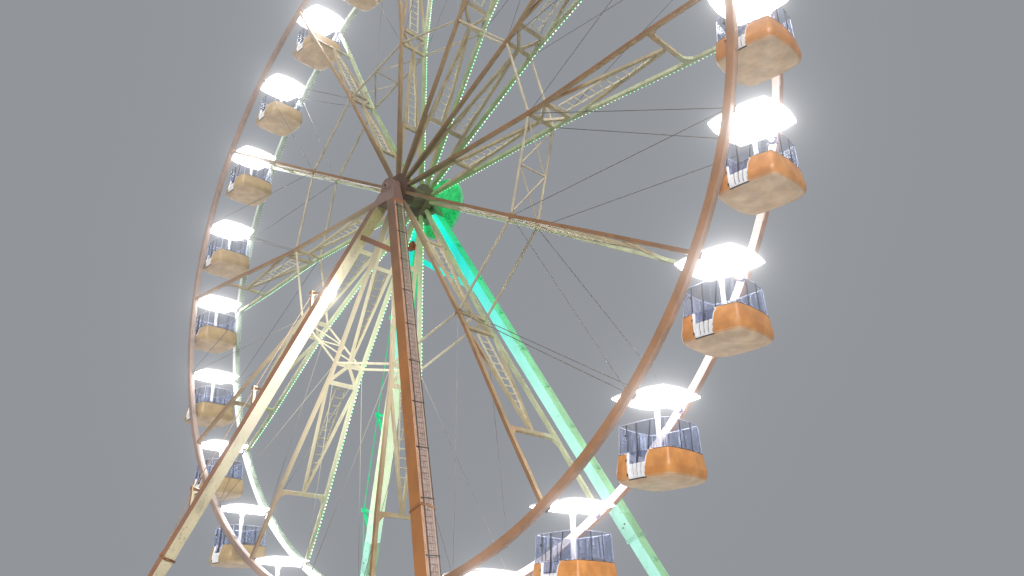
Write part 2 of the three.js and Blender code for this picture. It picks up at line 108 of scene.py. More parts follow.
def legPoint(end, side, drop):
    topY, slopeY = legSizes["lines"][end]
    x = side * (legSizes["topX"] + legSizes["slopeX"] * drop)
    return Vector((x, topY + slopeY * drop, hubCentre.z - drop))


def addObject(name, data):
    thing = bpy.data.objects.new(name, data)
    bpy.context.scene.collection.objects.link(thing)
    return thing


def smoothMesh(mesh, sharpAngle=35):
    for polygon in mesh.polygons:
        polygon.use_smooth = True
    mesh.set_sharp_from_angle(angle=math.radians(sharpAngle))


def meshFrom(name, points, faces, sharpAngle=35, outwards=True):
    mesh = bpy.data.meshes.new(name)
    mesh.from_pydata([tuple(p) for p in points], [], faces)
    bm = bmesh.new()
    bm.from_mesh(mesh)
    bmesh.ops.remove_doubles(bm, verts=bm.verts, dist=1e-5)
    if outwards:
        bmesh.ops.recalc_face_normals(bm, faces=bm.faces)
    bm.to_mesh(mesh)
    bm.free()
    smoothMesh(mesh, sharpAngle)
    return mesh


def meshOf(name, bm, sharpAngle=35):
    mesh = bpy.data.meshes.new(name)
    bm.to_mesh(mesh)
    bm.free()
    smoothMesh(mesh, sharpAngle)
    return mesh


def joinMeshes(name, meshes, sharpAngle=35):
    bm = bmesh.new()
    for mesh in meshes:
        bm.from_mesh(mesh)
    return meshOf(name, bm, sharpAngle)


def dressPiece(name, mesh, finish, body="supports", replaces=(), sharpAngle=35):
    # mesh: one mesh, or a list of meshes to join
    if isinstance(mesh, list):
        mesh = joinMeshes(name, mesh, sharpAngle)
    piece = addObject(name, mesh)
    mesh.materials.clear()
    mesh.materials.append(materials[finish])
    if replaces:
        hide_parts(*replaces)
    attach(piece, body)


def boxMesh(name, low, high, bevel=0.0):
    low, high = Vector(low), Vector(high)
    bm = bmesh.new()
    bmesh.ops.create_cube(bm, size=1)
    place = Matrix.Translation((high + low) / 2) @ Matrix.Diagonal((*(high - low), 1))
    bmesh.ops.transform(bm, matrix=place, verts=bm.verts)
    if bevel:
        bmesh.ops.bevel(bm, geom=bm.edges[:], offset=bevel, segments=2, affect="EDGES", profile=0.5)
    return meshOf(name, bm, 50)


def gridFaces(rows, count, closed=False):
    # faces between rows of count points, each row running round; closed: the last row meets the first
    faces = []
    for row in range(rows if closed else rows - 1):
        low, high = row * count, (row + 1) % rows * count
        faces += [(low + k, low + (k + 1) % count, high + (k + 1) % count, high + k) for k in range(count)]
    return faces


def endFaces(rows, count):
    return [tuple(range(count)), tuple(range(rows * count - 1, (rows - 1) * count - 1, -1))]


def prismMesh(name, near, far, sharpAngle=35):
    # a solid between two outlines with the same number of points
    return meshFrom(name, near + far, endFaces(2, len(near)) + gridFaces(2, len(near)), sharpAngle)


def circle(side, up, count):
    angles = [tau * k / count for k in range(count)]
    return [side * math.cos(angle) + up * math.sin(angle) for angle in angles]


def sideOf(axis):
    helper = upwards if abs(axis.z) < 0.9 else Vector((0, 1, 0))
    return axis.cross(helper).normalized()


def framesAlong(points, closed):
    # a side and an up for each point, without twist
    frames = []
    count = len(points)
    side = None
    for i in range(count):
        before = points[i - 1] if i > 0 or closed else points[i]
        after = points[(i + 1) % count] if i + 1 < count or closed else points[i]
        tangent = (after - before).normalized()
        if side is None:
            side = sideOf(tangent)
        side = (side - tangent * side.dot(tangent)).normalized()
        frames.append((side, tangent.cross(side)))
    return frames


def tubeMesh(name, points, radius, sides=8, closed=False):
    points = [Vector(p) for p in points]
    corners = []
    for point, (side, up) in zip(points, framesAlong(points, closed)):
        corners += [point + spoke * radius for spoke in circle(side, up, sides)]
    faces = gridFaces(len(points), sides, closed)
    if not closed:
        faces += endFaces(len(points), sides)
    return meshFrom(name, corners, faces)


def barMesh(name, start, end, wide, deep, side=Vector((0, 1, 0)), bevel=0.0):
    # a rectangular bar: wide across the side direction, deep along it
    start, end = Vector(start), Vector(end)
    along = (end - start).normalized()
    up = (side - along * side.dot(along)).normalized()
    across = along.cross(up)
    length = (end - start).length
    mesh = boxMesh(name, (-wide / 2, -deep / 2, 0), (wide / 2, deep / 2, length), bevel)
    turn = Matrix((across, up, along)).transposed().to_4x4()
    mesh.transform(Matrix.Translation(start) @ turn)
    if turn.determinant() < 0:
        mesh.flip_normals()
    return mesh


def latheAlongY(name, profile, sides=64, centre=Vector((0, 0, 0)), sharpAngle=35):
    # profile: pairs of y and radius, from one end to the other; a radius of 0 closes an end
    spokes = circle(Vector((1, 0, 0)), upwards, sides)
    points = [centre + Vector((0, y, 0)) + spoke * radius for y, radius in profile for spoke in spokes]
    return meshFrom(name, points, gridFaces(len(profile), sides), sharpAngle)


# Node groups, and the Geometry Nodes that repeat the small pieces

def startGroup(name, kind, inputs, outputs):
    group = bpy.data.node_groups.new(name, kind)
    for side, sockets in (("INPUT", inputs), ("OUTPUT", outputs)):
        for label, value in sockets.items():
            group.interface.new_socket(label, in_out=side, socket_type="NodeSocket" + value)
    return group, group.nodes.new("NodeGroupInput").outputs


def startTree(name, inputs):
    return startGroup(name, "GeometryNodeTree", {"Geometry": "Geometry", **inputs, "Material": "Material"},
                      {"Geometry": "Geometry"})


def floats(*labels):
    return {label: "Float" for label in labels}


def wire(tree, value, socket):
    if isinstance(value, bpy.types.NodeSocket):
        tree.links.new(value, socket)
    else:
        socket.default_value = value


def addNode(tree, kind, settings=None, inputs=None):
    node = tree.nodes.new(kind)
    for key, value in (settings or {}).items():
        setattr(node, key, value)
    for key, value in (inputs or {}).items():
        wire(tree, value, node.inputs[key])
    return node


def made(tree, kind, inputs, **settings):
    # the first output of a new node
    return addNode(tree, kind, settings, inputs).outputs[0]


def calculate(tree, operation, *values):
    return made(tree, "ShaderNodeMath", dict(enumerate(values)), operation=operation)


def plus(tree, a, b):
    return calculate(tree, "ADD", a, b)


def minus(tree, a, b):
    return calculate(tree, "SUBTRACT", a, b)


def times(tree, a, b):
    return calculate(tree, "MULTIPLY", a, b)


def finishTree(tree, given, geometry):
    real = made(tree, "GeometryNodeRealizeInstances", {"Geometry": geometry})
    covered = made(tree, "GeometryNodeSetMaterial", {"Geometry": real, "Material": given["Material"]})
    addNode(tree, "NodeGroupOutput", inputs={0: covered})
    return tree


def runTree(key, name, values, finish, carrier=None):
    # sets the modifier's inputs, evaluates it once and hands back a plain mesh
    maker = addObject(name + "_maker", carrier or bpy.data.meshes.new(name + "_carrier"))
    modifier = maker.modifiers.new("shape", "NODES")
    modifier.node_group = tree = trees[key]
    sockets = {item.name: item.identifier for item in tree.interface.items_tree if item.in_out == "INPUT"}
    for label, value in values.items():
        modifier[sockets[label]] = value
    modifier[sockets["Material"]] = materials[finish]
    return bakeMesh(name, maker, modifier, 35)


def bakeMesh(name, maker, modifier, sharpAngle):
    depsgraph = bpy.context.evaluated_depsgraph_get()
    mesh = bpy.data.meshes.new_from_object(maker.evaluated_get(depsgraph), depsgraph=depsgraph)
    mesh.name = name
    maker.modifiers.remove(modifier)
    bpy.data.objects.remove(maker)
    smoothMesh(mesh, sharpAngle)
    return mesh


def aroundHubTree():
    # copies of the carrier mesh around the axle: it lies on X out from the hub centre
    inputs = {"Count": "Int", **floats("First angle", "Step", "Hub height")}
    tree, given = startTree("aroundHub", inputs)
    spots = made(tree, "GeometryNodePoints", {"Count": given["Count"]})
    turned = times(tree, made(tree, "GeometryNodeInputIndex", {}), given["Step"])
    angle = plus(tree, turned, given["First angle"])
    turn = made(tree, "ShaderNodeCombineXYZ", {"Y": times(tree, angle, -1.0)})
    place = made(tree, "ShaderNodeCombineXYZ", {"Z": given["Hub height"]})
    moved = made(tree, "GeometryNodeSetPosition", {"Geometry": spots, "Position": place})
    return finishTree(tree, given, made(tree, "GeometryNodeInstanceOnPoints", {
        "Points": moved, "Instance": given["Geometry"], "Rotation": turn}))


def alongLineTree():
    # copies of the carrier mesh in a straight row, each with a random shade
    inputs = {"Start": "Vector", "End": "Vector", "Count": "Int", "Seed": "Int"}
    tree, given = startTree("alongLine", inputs)
    row = made(tree, "GeometryNodeMeshLine", {
        "Count": given["Count"], "Start Location": given["Start"], "Offset": given["End"]}, mode="END_POINTS")
    spots = made(tree, "GeometryNodeMeshToPoints", {"Mesh": row})
    shade = addNode(tree, "FunctionNodeRandomValue", {"data_type": "FLOAT"}, {"Seed": given["Seed"]})
    marked = made(tree, "GeometryNodeStoreNamedAttribute", {
        "Geometry": spots, "Name": "shade", "Value": shade.outputs[1]}, data_type="FLOAT", domain="POINT")
    return finishTree(tree, given, made(tree, "GeometryNodeInstanceOnPoints", {
        "Points": marked, "Instance": given["Geometry"]}))


def sweptRingTree():
    # a box section with rounded corners, swept around the axle
    inputs = {"Steps": "Int", **floats("Radius", "Offset", "Deep", "Wide", "Corner", "Hub height")}
    tree, given = startTree("sweptRing", inputs)
    path = made(tree, "GeometryNodeCurvePrimitiveCircle", {
        "Resolution": given["Steps"], "Radius": given["Radius"]})
    upright = made(tree, "GeometryNodeSetCurveNormal", {"Curve": path}, mode="Z_UP")
    section = made(tree, "GeometryNodeCurvePrimitiveQuadrilateral", {
        "Width": given["Deep"], "Height": given["Wide"]})
    rounded = made(tree, "GeometryNodeFilletCurve", {
        "Curve": section, "Count": 2, "Radius": given["Corner"]}, mode="POLY")
    swept = made(tree, "GeometryNodeCurveToMesh", {"Curve": upright, "Profile Curve": rounded})
    place = made(tree, "ShaderNodeCombineXYZ", {"Y": given["Offset"], "Z": given["Hub height"]})
    return finishTree(tree, given, made(tree, "GeometryNodeTransform", {
        "Geometry": swept, "Translation": place, "Rotation": (math.radians(90), 0, 0)}))


trees = {"aroundHub": aroundHubTree(), "alongLine": alongLineTree(), "sweptRing": sweptRingTree()}


def aroundHub(name, carrier, finish, count=12, first=restTurn):
    values = {"Count": count, "First angle": first, "Step": tau / count, "Hub height": hubCentre.z}
    return runTree("aroundHub", name, values, finish, carrier)


def alongLine(name, carrier, finish, start, end, count, seed=1):
    values = {"Start": tuple(start), "End": tuple(end), "Count": count, "Seed": seed}
    return runTree("alongLine", name, values, finish, carrier)


def dressAround(name, parts, finish, count=12, first=restTurn):
    # a piece of the wheel made of copies around the axle
    dressPiece(name, aroundHub(name, joinMeshes(name, parts), finish, count, first), finish, "wheel")


print("Geometry Nodes trees built")


# Camera, light, background and floor

viewpoint = {"place": (22.54, -17.65, 1.61), "yaw": -44.602, "pitch": 22.777, "roll": -0.742, "lens": 31.33}


def aimCamera():
    yaw, pitch, roll = (math.radians(viewpoint[key]) for key in ("yaw", "pitch", "roll"))
    forward = Vector((math.sin(yaw) * math.cos(pitch), math.cos(yaw) * math.cos(pitch), math.sin(pitch)))
    level = Vector((math.cos(yaw), -math.sin(yaw), 0))
    rise = level.cross(forward)
    right = level * math.cos(roll) + rise * math.sin(roll)
    up = rise * math.cos(roll) - level * math.sin(roll)
    data = bpy.data.cameras.new("camera")
    data.lens = viewpoint["lens"]
    data.sensor_width = 36
    data.clip_end = 500
    camera = addObject("camera", data)
    turn = Matrix((right, up, -forward)).transposed().to_4x4()
    camera.matrix_world = Matrix.Translation(viewpoint["place"]) @ turn
    bpy.context.scene.camera = camera
    bpy.context.scene.view_settings.view_transform = "Standard"


glowLooks = {"Threshold": 1.5, "Strength": 0.25, "Size": 0.35}


def makeGlow():
    # a soft glow round the bright roofs and the floodlight
    scene = bpy.context.scene
    scene.use_nodes = True
    tree = scene.node_tree
    tree.nodes.clear()
    layers = tree.nodes.new("CompositorNodeRLayers")
    glare = addNode(tree, "CompositorNodeGlare", {"glare_type": "BLOOM"}, {
        "Image": layers.outputs["Image"], **glowLooks})
    addNode(tree, "CompositorNodeComposite", inputs={"Image": glare.outputs["Image"]})


def addSun(name, strength, colour, spread, towards):
    data = bpy.data.lights.new(name, "SUN")
    data.energy = strength
    data.color = colour
    data.angle = math.radians(spread)
    addObject(name, data).rotation_euler = Vector(towards).to_track_quat("-Z", "Y").to_euler()


def lightStudio():
    world = bpy.data.worlds.new("studio")
    bpy.context.scene.world = world
    world.use_nodes = True
    background = world.node_tree.nodes["Background"]
    background.inputs["Color"].default_value = (0.36, 0.38, 0.41, 1)
    background.inputs["Strength"].default_value = 0.8
    addSun("keyLight", 2.4, (1.0, 0.96, 0.9), 25, (-0.6, 0.75, -0.55))
    addSun("lowLight", 1.5, (1.0, 0.93, 0.85), 40, (-0.5, 0.7, 0.55))
    addSun("rimLight", 0.8, (0.85, 0.92, 1.0), 30, (0.8, -0.5, -0.4))


makeGlow()
aimCamera()
lightStudio()


# Materials: groups put out colours, masks, roughness and heights; the shader stays in the material

def noise(tree, vector, scale, detail=3.0, roughness=0.5):
    return made(tree, "ShaderNodeTexNoise", {
        "Vector": vector, "Scale": scale, "Detail": detail, "Roughness": roughness})


def mapRange(tree, value, low, high, to=(0.0, 1.0)):
    return made(tree, "ShaderNodeMapRange", {
        "Value": value, "From Min": low, "From Max": high, "To Min": to[0], "To Max": to[1]},
        interpolation_type="SMOOTHSTEP")


def mixColours(tree, share, first, second, blendType="MIX"):
    # 6 and 7 are the node's two colours, and 2 is the colour it gives
    pair = [value if isinstance(value, bpy.types.NodeSocket) else (*value, 1) for value in (first, second)]
    node = addNode(tree, "ShaderNodeMix", {"data_type": "RGBA", "blend_type": blendType},
                   {"Factor": share, 6: pair[0], 7: pair[1]})
    return node.outputs[2]


def objectPlace(tree):
    return tree.nodes.new("ShaderNodeTexCoord").outputs["Object"]


def stretched(tree, vector, scale):
    return made(tree, "ShaderNodeMapping", {"Vector": vector, "Scale": scale})


def axes(tree, vector):
    return addNode(tree, "ShaderNodeSeparateXYZ", inputs={"Vector": vector}).outputs


def attribute(tree, name):
    return addNode(tree, "ShaderNodeAttribute", {"attribute_name": name}).outputs["Fac"]


def bumpFrom(tree, height, strength, distance):
    return made(tree, "ShaderNodeBump", {"Height": height, "Strength": strength, "Distance": distance})


def paintWearGroup():
    # painted steel out of doors: cloudy tone, dirt that runs down, small chips and an orange-peel surface
    group, given = startGroup("paintWear", "ShaderNodeTree",
                              {"Colour": "Color", **floats("Dirt amount", "Chips", "Scale", "Roughness")},
                              {"Colour": "Color", **floats("Roughness", "Height")})
    place = objectPlace(group)
    size = given["Scale"]
    runs = noise(group, stretched(group, place, (3.0, 3.0, 0.35)), size, 5.0, 0.6)
    specks = noise(group, place, times(group, size, 14.0), 2.0)
    tone = mapRange(group, noise(group, place, size, 4.0), 0.3, 0.7, (0.86, 1.08))
    shade = made(group, "ShaderNodeCombineColor", {"Red": tone, "Green": tone, "Blue": tone})
    shaded = mixColours(group, 1.0, given["Colour"], shade, "MULTIPLY")
    dirty = times(group, mapRange(group, runs, 0.48, 0.72), given["Dirt amount"])
    soiled = mixColours(group, dirty, shaded, (0.16, 0.12, 0.09))
    chipped = times(group, mapRange(group, specks, 0.66, 0.7), given["Chips"])
    peel = noise(group, place, times(group, size, 60.0), 2.0)
    addNode(group, "NodeGroupOutput", inputs={
        "Colour": mixColours(group, chipped, soiled, (0.12, 0.07, 0.045)),
        "Roughness": plus(group, given["Roughness"], times(group, dirty, 0.25)),
        "Height": minus(group, times(group, peel, 0.2), chipped)})
    return group


def wheelPlaceGroup():
    # where a point lies on the wheel: distance from the axle, and which way it faces
    outputs = floats("Radius", "Front", "Faces front", "Faces down", "Faces hub", "Inside", "Off spoke")
    group, _ = startGroup("wheelPlace", "ShaderNodeTree", {}, outputs)
    x, y, z = axes(group, objectPlace(group))
    rise = minus(group, z, hubCentre.z)
    radial = made(group, "ShaderNodeCombineXYZ", {"X": x, "Z": rise})
    radius = addNode(group, "ShaderNodeVectorMath", {"operation": "LENGTH"}, {0: radial}).outputs["Value"]
    towards = made(group, "ShaderNodeVectorMath", {0: radial}, operation="NORMALIZE")
    normal = group.nodes.new("ShaderNodeNewGeometry").outputs["True Normal"]
    faces = axes(group, normal)
    along = addNode(group, "ShaderNodeVectorMath", {"operation": "DOT_PRODUCT"}, {0: normal, 1: towards})
    step = tau / spokeSizes["count"]
    turned = minus(group, calculate(group, "ARCTAN2", rise, x), restTurn)
    share = calculate(group, "WRAP", turned, step / 2, -step / 2)
    apart = times(group, calculate(group, "ABSOLUTE", share), radius)
    addNode(group, "NodeGroupOutput", inputs={
        "Inside": mapRange(group, calculate(group, "ABSOLUTE", y), 0.48, 0.4),
        "Off spoke": mapRange(group, apart, 0.1, 0.14),
        "Radius": radius,
        "Front": mapRange(group, y, 0.05, -0.05),
        "Faces front": mapRange(group, faces["Y"], -0.3, -0.8),
        "Faces down": mapRange(group, faces["Z"], -0.3, -0.8),
        "Faces hub": mapRange(group, along.outputs["Value"], -0.3, -0.8)})
    return group


groups = {"paintWear": paintWearGroup(), "wheelPlace": wheelPlaceGroup()}


def placeGroup(tree, key):
    return addNode(tree, "ShaderNodeGroup", {"node_tree": groups[key]})


def wheelPlace(tree):
    return placeGroup(tree, "wheelPlace").outputs


def startMaterial(name):
    material = bpy.data.materials.new(name)
    material.use_nodes = True
    return material, material.node_tree


def setShader(material, values):
    shader = material.node_tree.nodes["Principled BSDF"]
    for label, value in values.items():
        wire(material.node_tree, value, shader.inputs[label])
    return material


def shine(material, share, strength, colour, dark=(0, 0, 0)):
    lit = mixColours(material.node_tree, share, dark, colour)
    return setShader(material, {"Emission Color": lit, "Emission Strength": strength})


def coat(material, colour, scale=1.5, dirt=0.35, chips=0.5, roughness=0.42, bump=0.25):
    # colour: three numbers or a node's output; dirt and chips: how much of each
    tree = material.node_tree
    wear = placeGroup(tree, "paintWear")
    given = {"Colour": (*colour, 1) if isinstance(colour, tuple) else colour, "Dirt amount": dirt,
             "Chips": chips, "Scale": scale, "Roughness": roughness}
    for label, value in given.items():
        wire(tree, value, wear.inputs[label])
    return setShader(material, {
        "Base Color": wear.outputs["Colour"], "Roughness": wear.outputs["Roughness"],
        "Normal": bumpFrom(tree, wear.outputs["Height"], bump, 0.004)})


def rgb(*values):
    # a colour as a screen shows it, from 0 to 255, made linear
    shares = [value / 255 for value in values]
    return tuple(s / 12.92 if s <= 0.04045 else ((s + 0.055) / 1.055) ** 2.4 for s in shares)


def painted(name, colour, *wear):
    # wear: scale, dirt, chips and roughness, as coat takes them
    return coat(startMaterial(name)[0], rgb(*colour), *wear)


# the wheel's paint with painted light in it: frontFace, frontAbove and frontEdge carry a painted warm light
# on the front chords, browner on faces turned to the front and lighter higher up; rearNearHub and rearOutside
# carry a painted green light on the rear chords; nearHub is darker near the hub; inside, tie and stay are the
# bracing's, ties' and stays' own colours
wheelColours = {
    "frontFace": rgb(150, 112, 80), "frontAbove": rgb(166, 144, 114), "frontEdge": rgb(182, 156, 122),
    "nearHub": rgb(118, 96, 68), "rearNearHub": rgb(146, 178, 118), "rearOutside": rgb(192, 198, 164),
    "inside": rgb(182, 168, 136), "tie": rgb(196, 184, 160), "stay": rgb(120, 118, 116),
}
nearFloodlight = (-3.2, -0.2, 11.6)


def leftCoolLightShare(tree):
    # 0 on the right of the wheel and 1 on its left, where the photograph's colours are cooler: the share of a
    # painted cooler light
    return mapRange(tree, axes(tree, objectPlace(tree))["X"], 3.0, -9.0)


def heightShare(tree, low, high, to=(0.0, 1.0)):
    # low and high: heights over the hub's centre
    return mapRange(tree, axes(tree, objectPlace(tree))["Z"], hubCentre.z + low, hubCentre.z + high, to)


def spokePaint():
    # painted light: a warm light makes the front browner and a green light makes the back greener; the
    # bracing and stays are plainer
    material, tree = startMaterial("spokePaint")
    where = wheelPlace(tree)

    def mix(share, first, second):
        picked = [wheelColours[c] if isinstance(c, str) else c for c in (first, second)]
        return mixColours(tree, share, *picked)

    radius = where["Radius"]
    fromHub = mapRange(tree, radius, 0.5, 7.0)
    farFace = mix(heightShare(tree, 1, 8), "frontFace", "frontAbove")
    front = mix(where["Faces front"], mix(fromHub, "nearHub", "frontEdge"), mix(fromHub, "nearHub", farFace))
    rear = mix(mapRange(tree, radius, 1.0, 9.0), "rearNearHub", "rearOutside")
    chords = mix(where["Inside"], mix(where["Front"], rear, front), "inside")
    beyond = mix(mapRange(tree, radius, 6.55, 6.9), "tie", "stay")
    coat(material, mix(where["Off spoke"], chords, beyond), 2.2, 0.3, 0.4)
    # the floodlight on the left leg brightens what stands near it
    away = addNode(tree, "ShaderNodeVectorMath", {"operation": "DISTANCE"},
                   {0: objectPlace(tree), 1: nearFloodlight})
    return shine(material, mapRange(tree, away.outputs["Value"], 7.0, 1.5), 0.55, (1.0, 0.96, 0.7))


def hubPaint():
    # browner at the front and greener at the back: painted warm light and painted green light, as on the
    # spokes
    material, tree = startMaterial("hubPaint")
    colour = mixColours(tree, wheelPlace(tree)["Front"], rgb(100, 104, 74), rgb(88, 68, 54))
    return coat(material, colour, 4.0, 0.5, 0.8)


def ringPaint(name, face, inside, outside, left, towards, glow):
    # face, inside and outside are painted light and shade on the faces turned to the front, towards the hub
    # and away from it; left is a painted cooler light on the wheel's left
    material, tree = startMaterial(name)
    where = wheelPlace(tree)
    around = mixColours(tree, where["Faces hub"], outside, inside)
    colour = mixColours(tree, where["Faces front"], around, face)
    coat(material, mixColours(tree, leftCoolLightShare(tree), colour, left), 1.6, 0.25, 0.4)
    # the gondolas' lit roofs shine on the face towards them
    share = times(tree, heightShare(tree, 6, -5, (0.35, 1.0)), where[towards])
    return shine(material, share, glow, (1.0, 0.97, 0.96))


# leg colours with painted light and shade in them: warm, warmTop and redBrown are a painted warm light on the
# front legs, with painted shade under the head at the top (nearTop too); cyan, mint, greenTop, greenLow and
# greenArm are a painted green light on the rear legs; lightWashed is a painted wash of light
legColours = {
    "cream": rgb(250, 238, 202), "nearTop": rgb(182, 176, 126), "warm": rgb(164, 108, 58),
    "warmTop": rgb(108, 80, 58), "redBrown": rgb(156, 108, 78), "mint": rgb(176, 238, 222),
    "cyan": rgb(0, 228, 222), "greenTop": rgb(40, 214, 142), "greenLow": rgb(150, 200, 156),
    "lightWashed": rgb(226, 246, 208), "greenArm": rgb(20, 206, 138),
}


def legPaint(name, sides, face, turnDrop, glow=0.0, floodlit=False, low=None, arms=None):
    # sides and face: colours at the top and low down, on the sides and on the face towards -Y; the two faces
    # and the change down the leg are painted light and shade
    material, tree = startMaterial(name)
    x, y, z = axes(tree, objectPlace(tree))
    drop = minus(tree, hubCentre.z, z)
    down = mapRange(tree, drop, *turnDrop)
    frontwards = wheelPlace(tree)["Faces front"]
    besides, ahead = (mixColours(tree, down, *(legColours[key] for key in pair)) for pair in (sides, face))
    colour = mixColours(tree, frontwards, besides, ahead)
    if low:
        colour = mixColours(tree, mapRange(tree, drop, 9.5, 12.0), colour, legColours[low])
    if arms:
        # the cable outriggers stand clear of the leg's middle line
        startY, slopeY = legSizes["lines"]["rear"]
        aside = minus(tree, calculate(tree, "ABSOLUTE", x), times(tree, drop, legSizes["slopeX"]))
        behind = minus(tree, y, times(tree, drop, slopeY))
        offLine = calculate(tree, "MAXIMUM", minus(tree, aside, legSizes["topX"]),
                            minus(tree, behind, startY))
        colour = mixColours(tree, mapRange(tree, offLine, 0.24, 0.28), colour, legColours[arms])
    coat(material, colour, 1.1, 0.35, 0.6, 0.4)
    # painted light: the leg's own colour shines, though the leg is no lamp
    if glow:
        setShader(material, {"Emission Color": colour, "Emission Strength": glow})
    if floodlit:
        # the floodlight on the leg shines down its side
        rising = plus(tree, mapRange(tree, drop, 1.5, 3.4, (0.0, 0.25)),
                      mapRange(tree, drop, 3.4, 3.9, (0.0, 0.75)))
        below = times(tree, rising, mapRange(tree, drop, 11.0, 4.0))
        shine(material, times(tree, below, minus(tree, 1.0, frontwards)), 0.95, (1.0, 0.96, 0.86))
    return material


def metalMaterial(name, colour, roughness, scale=8.0, metallic=0.9):
    material, tree = startMaterial(name)
    place = objectPlace(tree)
    patch = noise(tree, place, scale, 5.0, 0.6)
    dark = tuple(channel * 0.62 for channel in colour)
    return setShader(material, {
        "Base Color": mixColours(tree, mapRange(tree, patch, 0.35, 0.68), dark, colour),
        "Roughness": mapRange(tree, patch, 0.3, 0.7, (roughness + 0.15, roughness)),
        "Normal": bumpFrom(tree, noise(tree, place, scale * 9, 2.0), 0.2, 0.002), "Metallic": metallic})


def shellMaterial():
    # moulded plastic tub: warm skin with gentle mottling; browner high up, paler on the left and paler
    # underneath are painted light and shade
    material, tree = startMaterial("gondolaShell")
    cloud = mapRange(tree, noise(tree, objectPlace(tree), 3.0, 4.0), 0.35, 0.65)
    side = mixColours(tree, cloud, rgb(202, 132, 64), rgb(218, 150, 80))
    side = mixColours(tree, heightShare(tree, -4, 6), side, rgb(172, 112, 74))
    side = mixColours(tree, leftCoolLightShare(tree), side, rgb(186, 160, 120))
    under = mixColours(tree, cloud, rgb(222, 188, 152), rgb(232, 204, 172))
    coat(material, mixColours(tree, wheelPlace(tree)["Faces down"], side, under), 2.4, 0.1, 0.12, 0.42, 0.15)
    return setShader(material, {"Coat Weight": 0.1})


def roofMaterial():
    # white moulded roof whose underside shines
    material = painted("litRoof", (236, 236, 238), 3.0, 0.15, 0.05)
    return shine(material, wheelPlace(material.node_tree)["Faces down"], 14.0, (1.0, 0.98, 0.96))


def litFrameMaterial():
    # white paint that the roof lamps wash out near the top; "lift" is the height over the pivot
    material = painted("litFrame", (226, 228, 236), 3.0, 0.15, 0.2)
    share = mapRange(material.node_tree, attribute(material.node_tree, "lift"), -0.6, -0.05)
    return shine(material, share, 3.6, (1.0, 0.98, 0.97), (0.03, 0.03, 0.035))


def clearMaterial(name, dark, pale, alpha):
    # clear plastic with a cool tint, upright streaks and faint scuffs
    material, tree = startMaterial(name)
    scuff = noise(tree, stretched(tree, objectPlace(tree), (7.0, 7.0, 0.8)), 1.6, 4.0, 0.6)
    return setShader(material, {
        "Base Color": mixColours(tree, mapRange(tree, scuff, 0.45, 0.72), dark, pale),
        "Roughness": mapRange(tree, scuff, 0.4, 0.8, (0.06, 0.3)),
        "Alpha": mapRange(tree, scuff, 0.4, 0.8, alpha), "Specular IOR Level": 0.8})


def lampMaterial(name, first, second, strength, share=0.7):
    material, tree = startMaterial(name)
    pick = mapRange(tree, attribute(tree, "shade"), share - 0.02, share + 0.02)
    colour = mixColours(tree, pick, first, second)
    return setShader(material, {"Base Color": colour, "Emission Color": colour,
                                "Emission Strength": strength, "Roughness": 0.3})


def discMaterial():
    # green lit panel with a fine random glitter
    material, tree = startMaterial("discPanel")
    place = objectPlace(tree)
    cloud = mapRange(tree, noise(tree, place, 5.0, 4.0), 0.35, 0.65)
    glitter = mapRange(tree, noise(tree, place, 42.0, 2.0, 0.7), 0.58, 0.7)
    colour = mixColours(tree, cloud, rgb(14, 150, 84), rgb(34, 196, 110))
    colour = mixColours(tree, glitter, colour, rgb(150, 250, 190))
    return setShader(material, {
        "Base Color": colour, "Emission Color": colour, "Emission Strength": 0.35,
        "Roughness": mapRange(tree, cloud, 0.0, 1.0, (0.35, 0.55))})


def tileMaterial():
    # pinkish tiles, darker and greener towards the top of the leg
    material, tree = startMaterial("tileFace")
    patch = mapRange(tree, noise(tree, objectPlace(tree), 14.0, 5.0, 0.6), 0.35, 0.68)
    above = mixColours(tree, patch, rgb(104, 110, 84), rgb(132, 132, 112))
    below = mixColours(tree, patch, rgb(156, 132, 122), rgb(182, 162, 154))
    return setShader(material, {
        "Base Color": mixColours(tree, heightShare(tree, -1.5, -6.0), above, below),
        "Roughness": mapRange(tree, patch, 0.0, 1.0, (0.5, 0.35))})


def plateMaterial():
    # chequer plate: raised lozenges in rows that alternate, worn bright on top
    material, tree = startMaterial("chequerPlate")
    place = objectPlace(tree)
    turned = made(tree, "ShaderNodeMapping", {"Vector": place, "Rotation": (0, 0, math.radians(45))})
    bars = addNode(tree, "ShaderNodeTexBrick", {"offset": 0.5}, {
        "Vector": turned, "Scale": 9.0, "Mortar Size": 0.035, "Mortar Smooth": 0.3})
    patch = noise(tree, place, 2.2, 5.0, 0.6)
    tint = mixColours(tree, mapRange(tree, patch, 0.3, 0.7), rgb(120, 120, 118), rgb(166, 166, 162))
    shade = times(tree, attribute(tree, "shade"), 0.3)
    return setShader(material, {
        "Base Color": mixColours(tree, shade, tint, rgb(104, 100, 94)),
        "Roughness": mapRange(tree, patch, 0.3, 0.7, (0.6, 0.42)),
        "Normal": bumpFrom(tree, bars.outputs["Fac"], 0.4, 0.004), "Metallic": 0.75})


def floodMaterial():
    material, tree = startMaterial("floodGlass")
    cells = addNode(tree, "ShaderNodeTexVoronoi", inputs={"Vector": objectPlace(tree), "Scale": 22.0})
    share = mapRange(tree, cells.outputs["Distance"], 0.1, 0.6)
    glow = mixColours(tree, share, (1, 0.98, 0.93), (0.75, 0.72, 0.66))
    return setShader(material, {"Base Color": glow, "Emission Color": glow, "Emission Strength": 60.0})


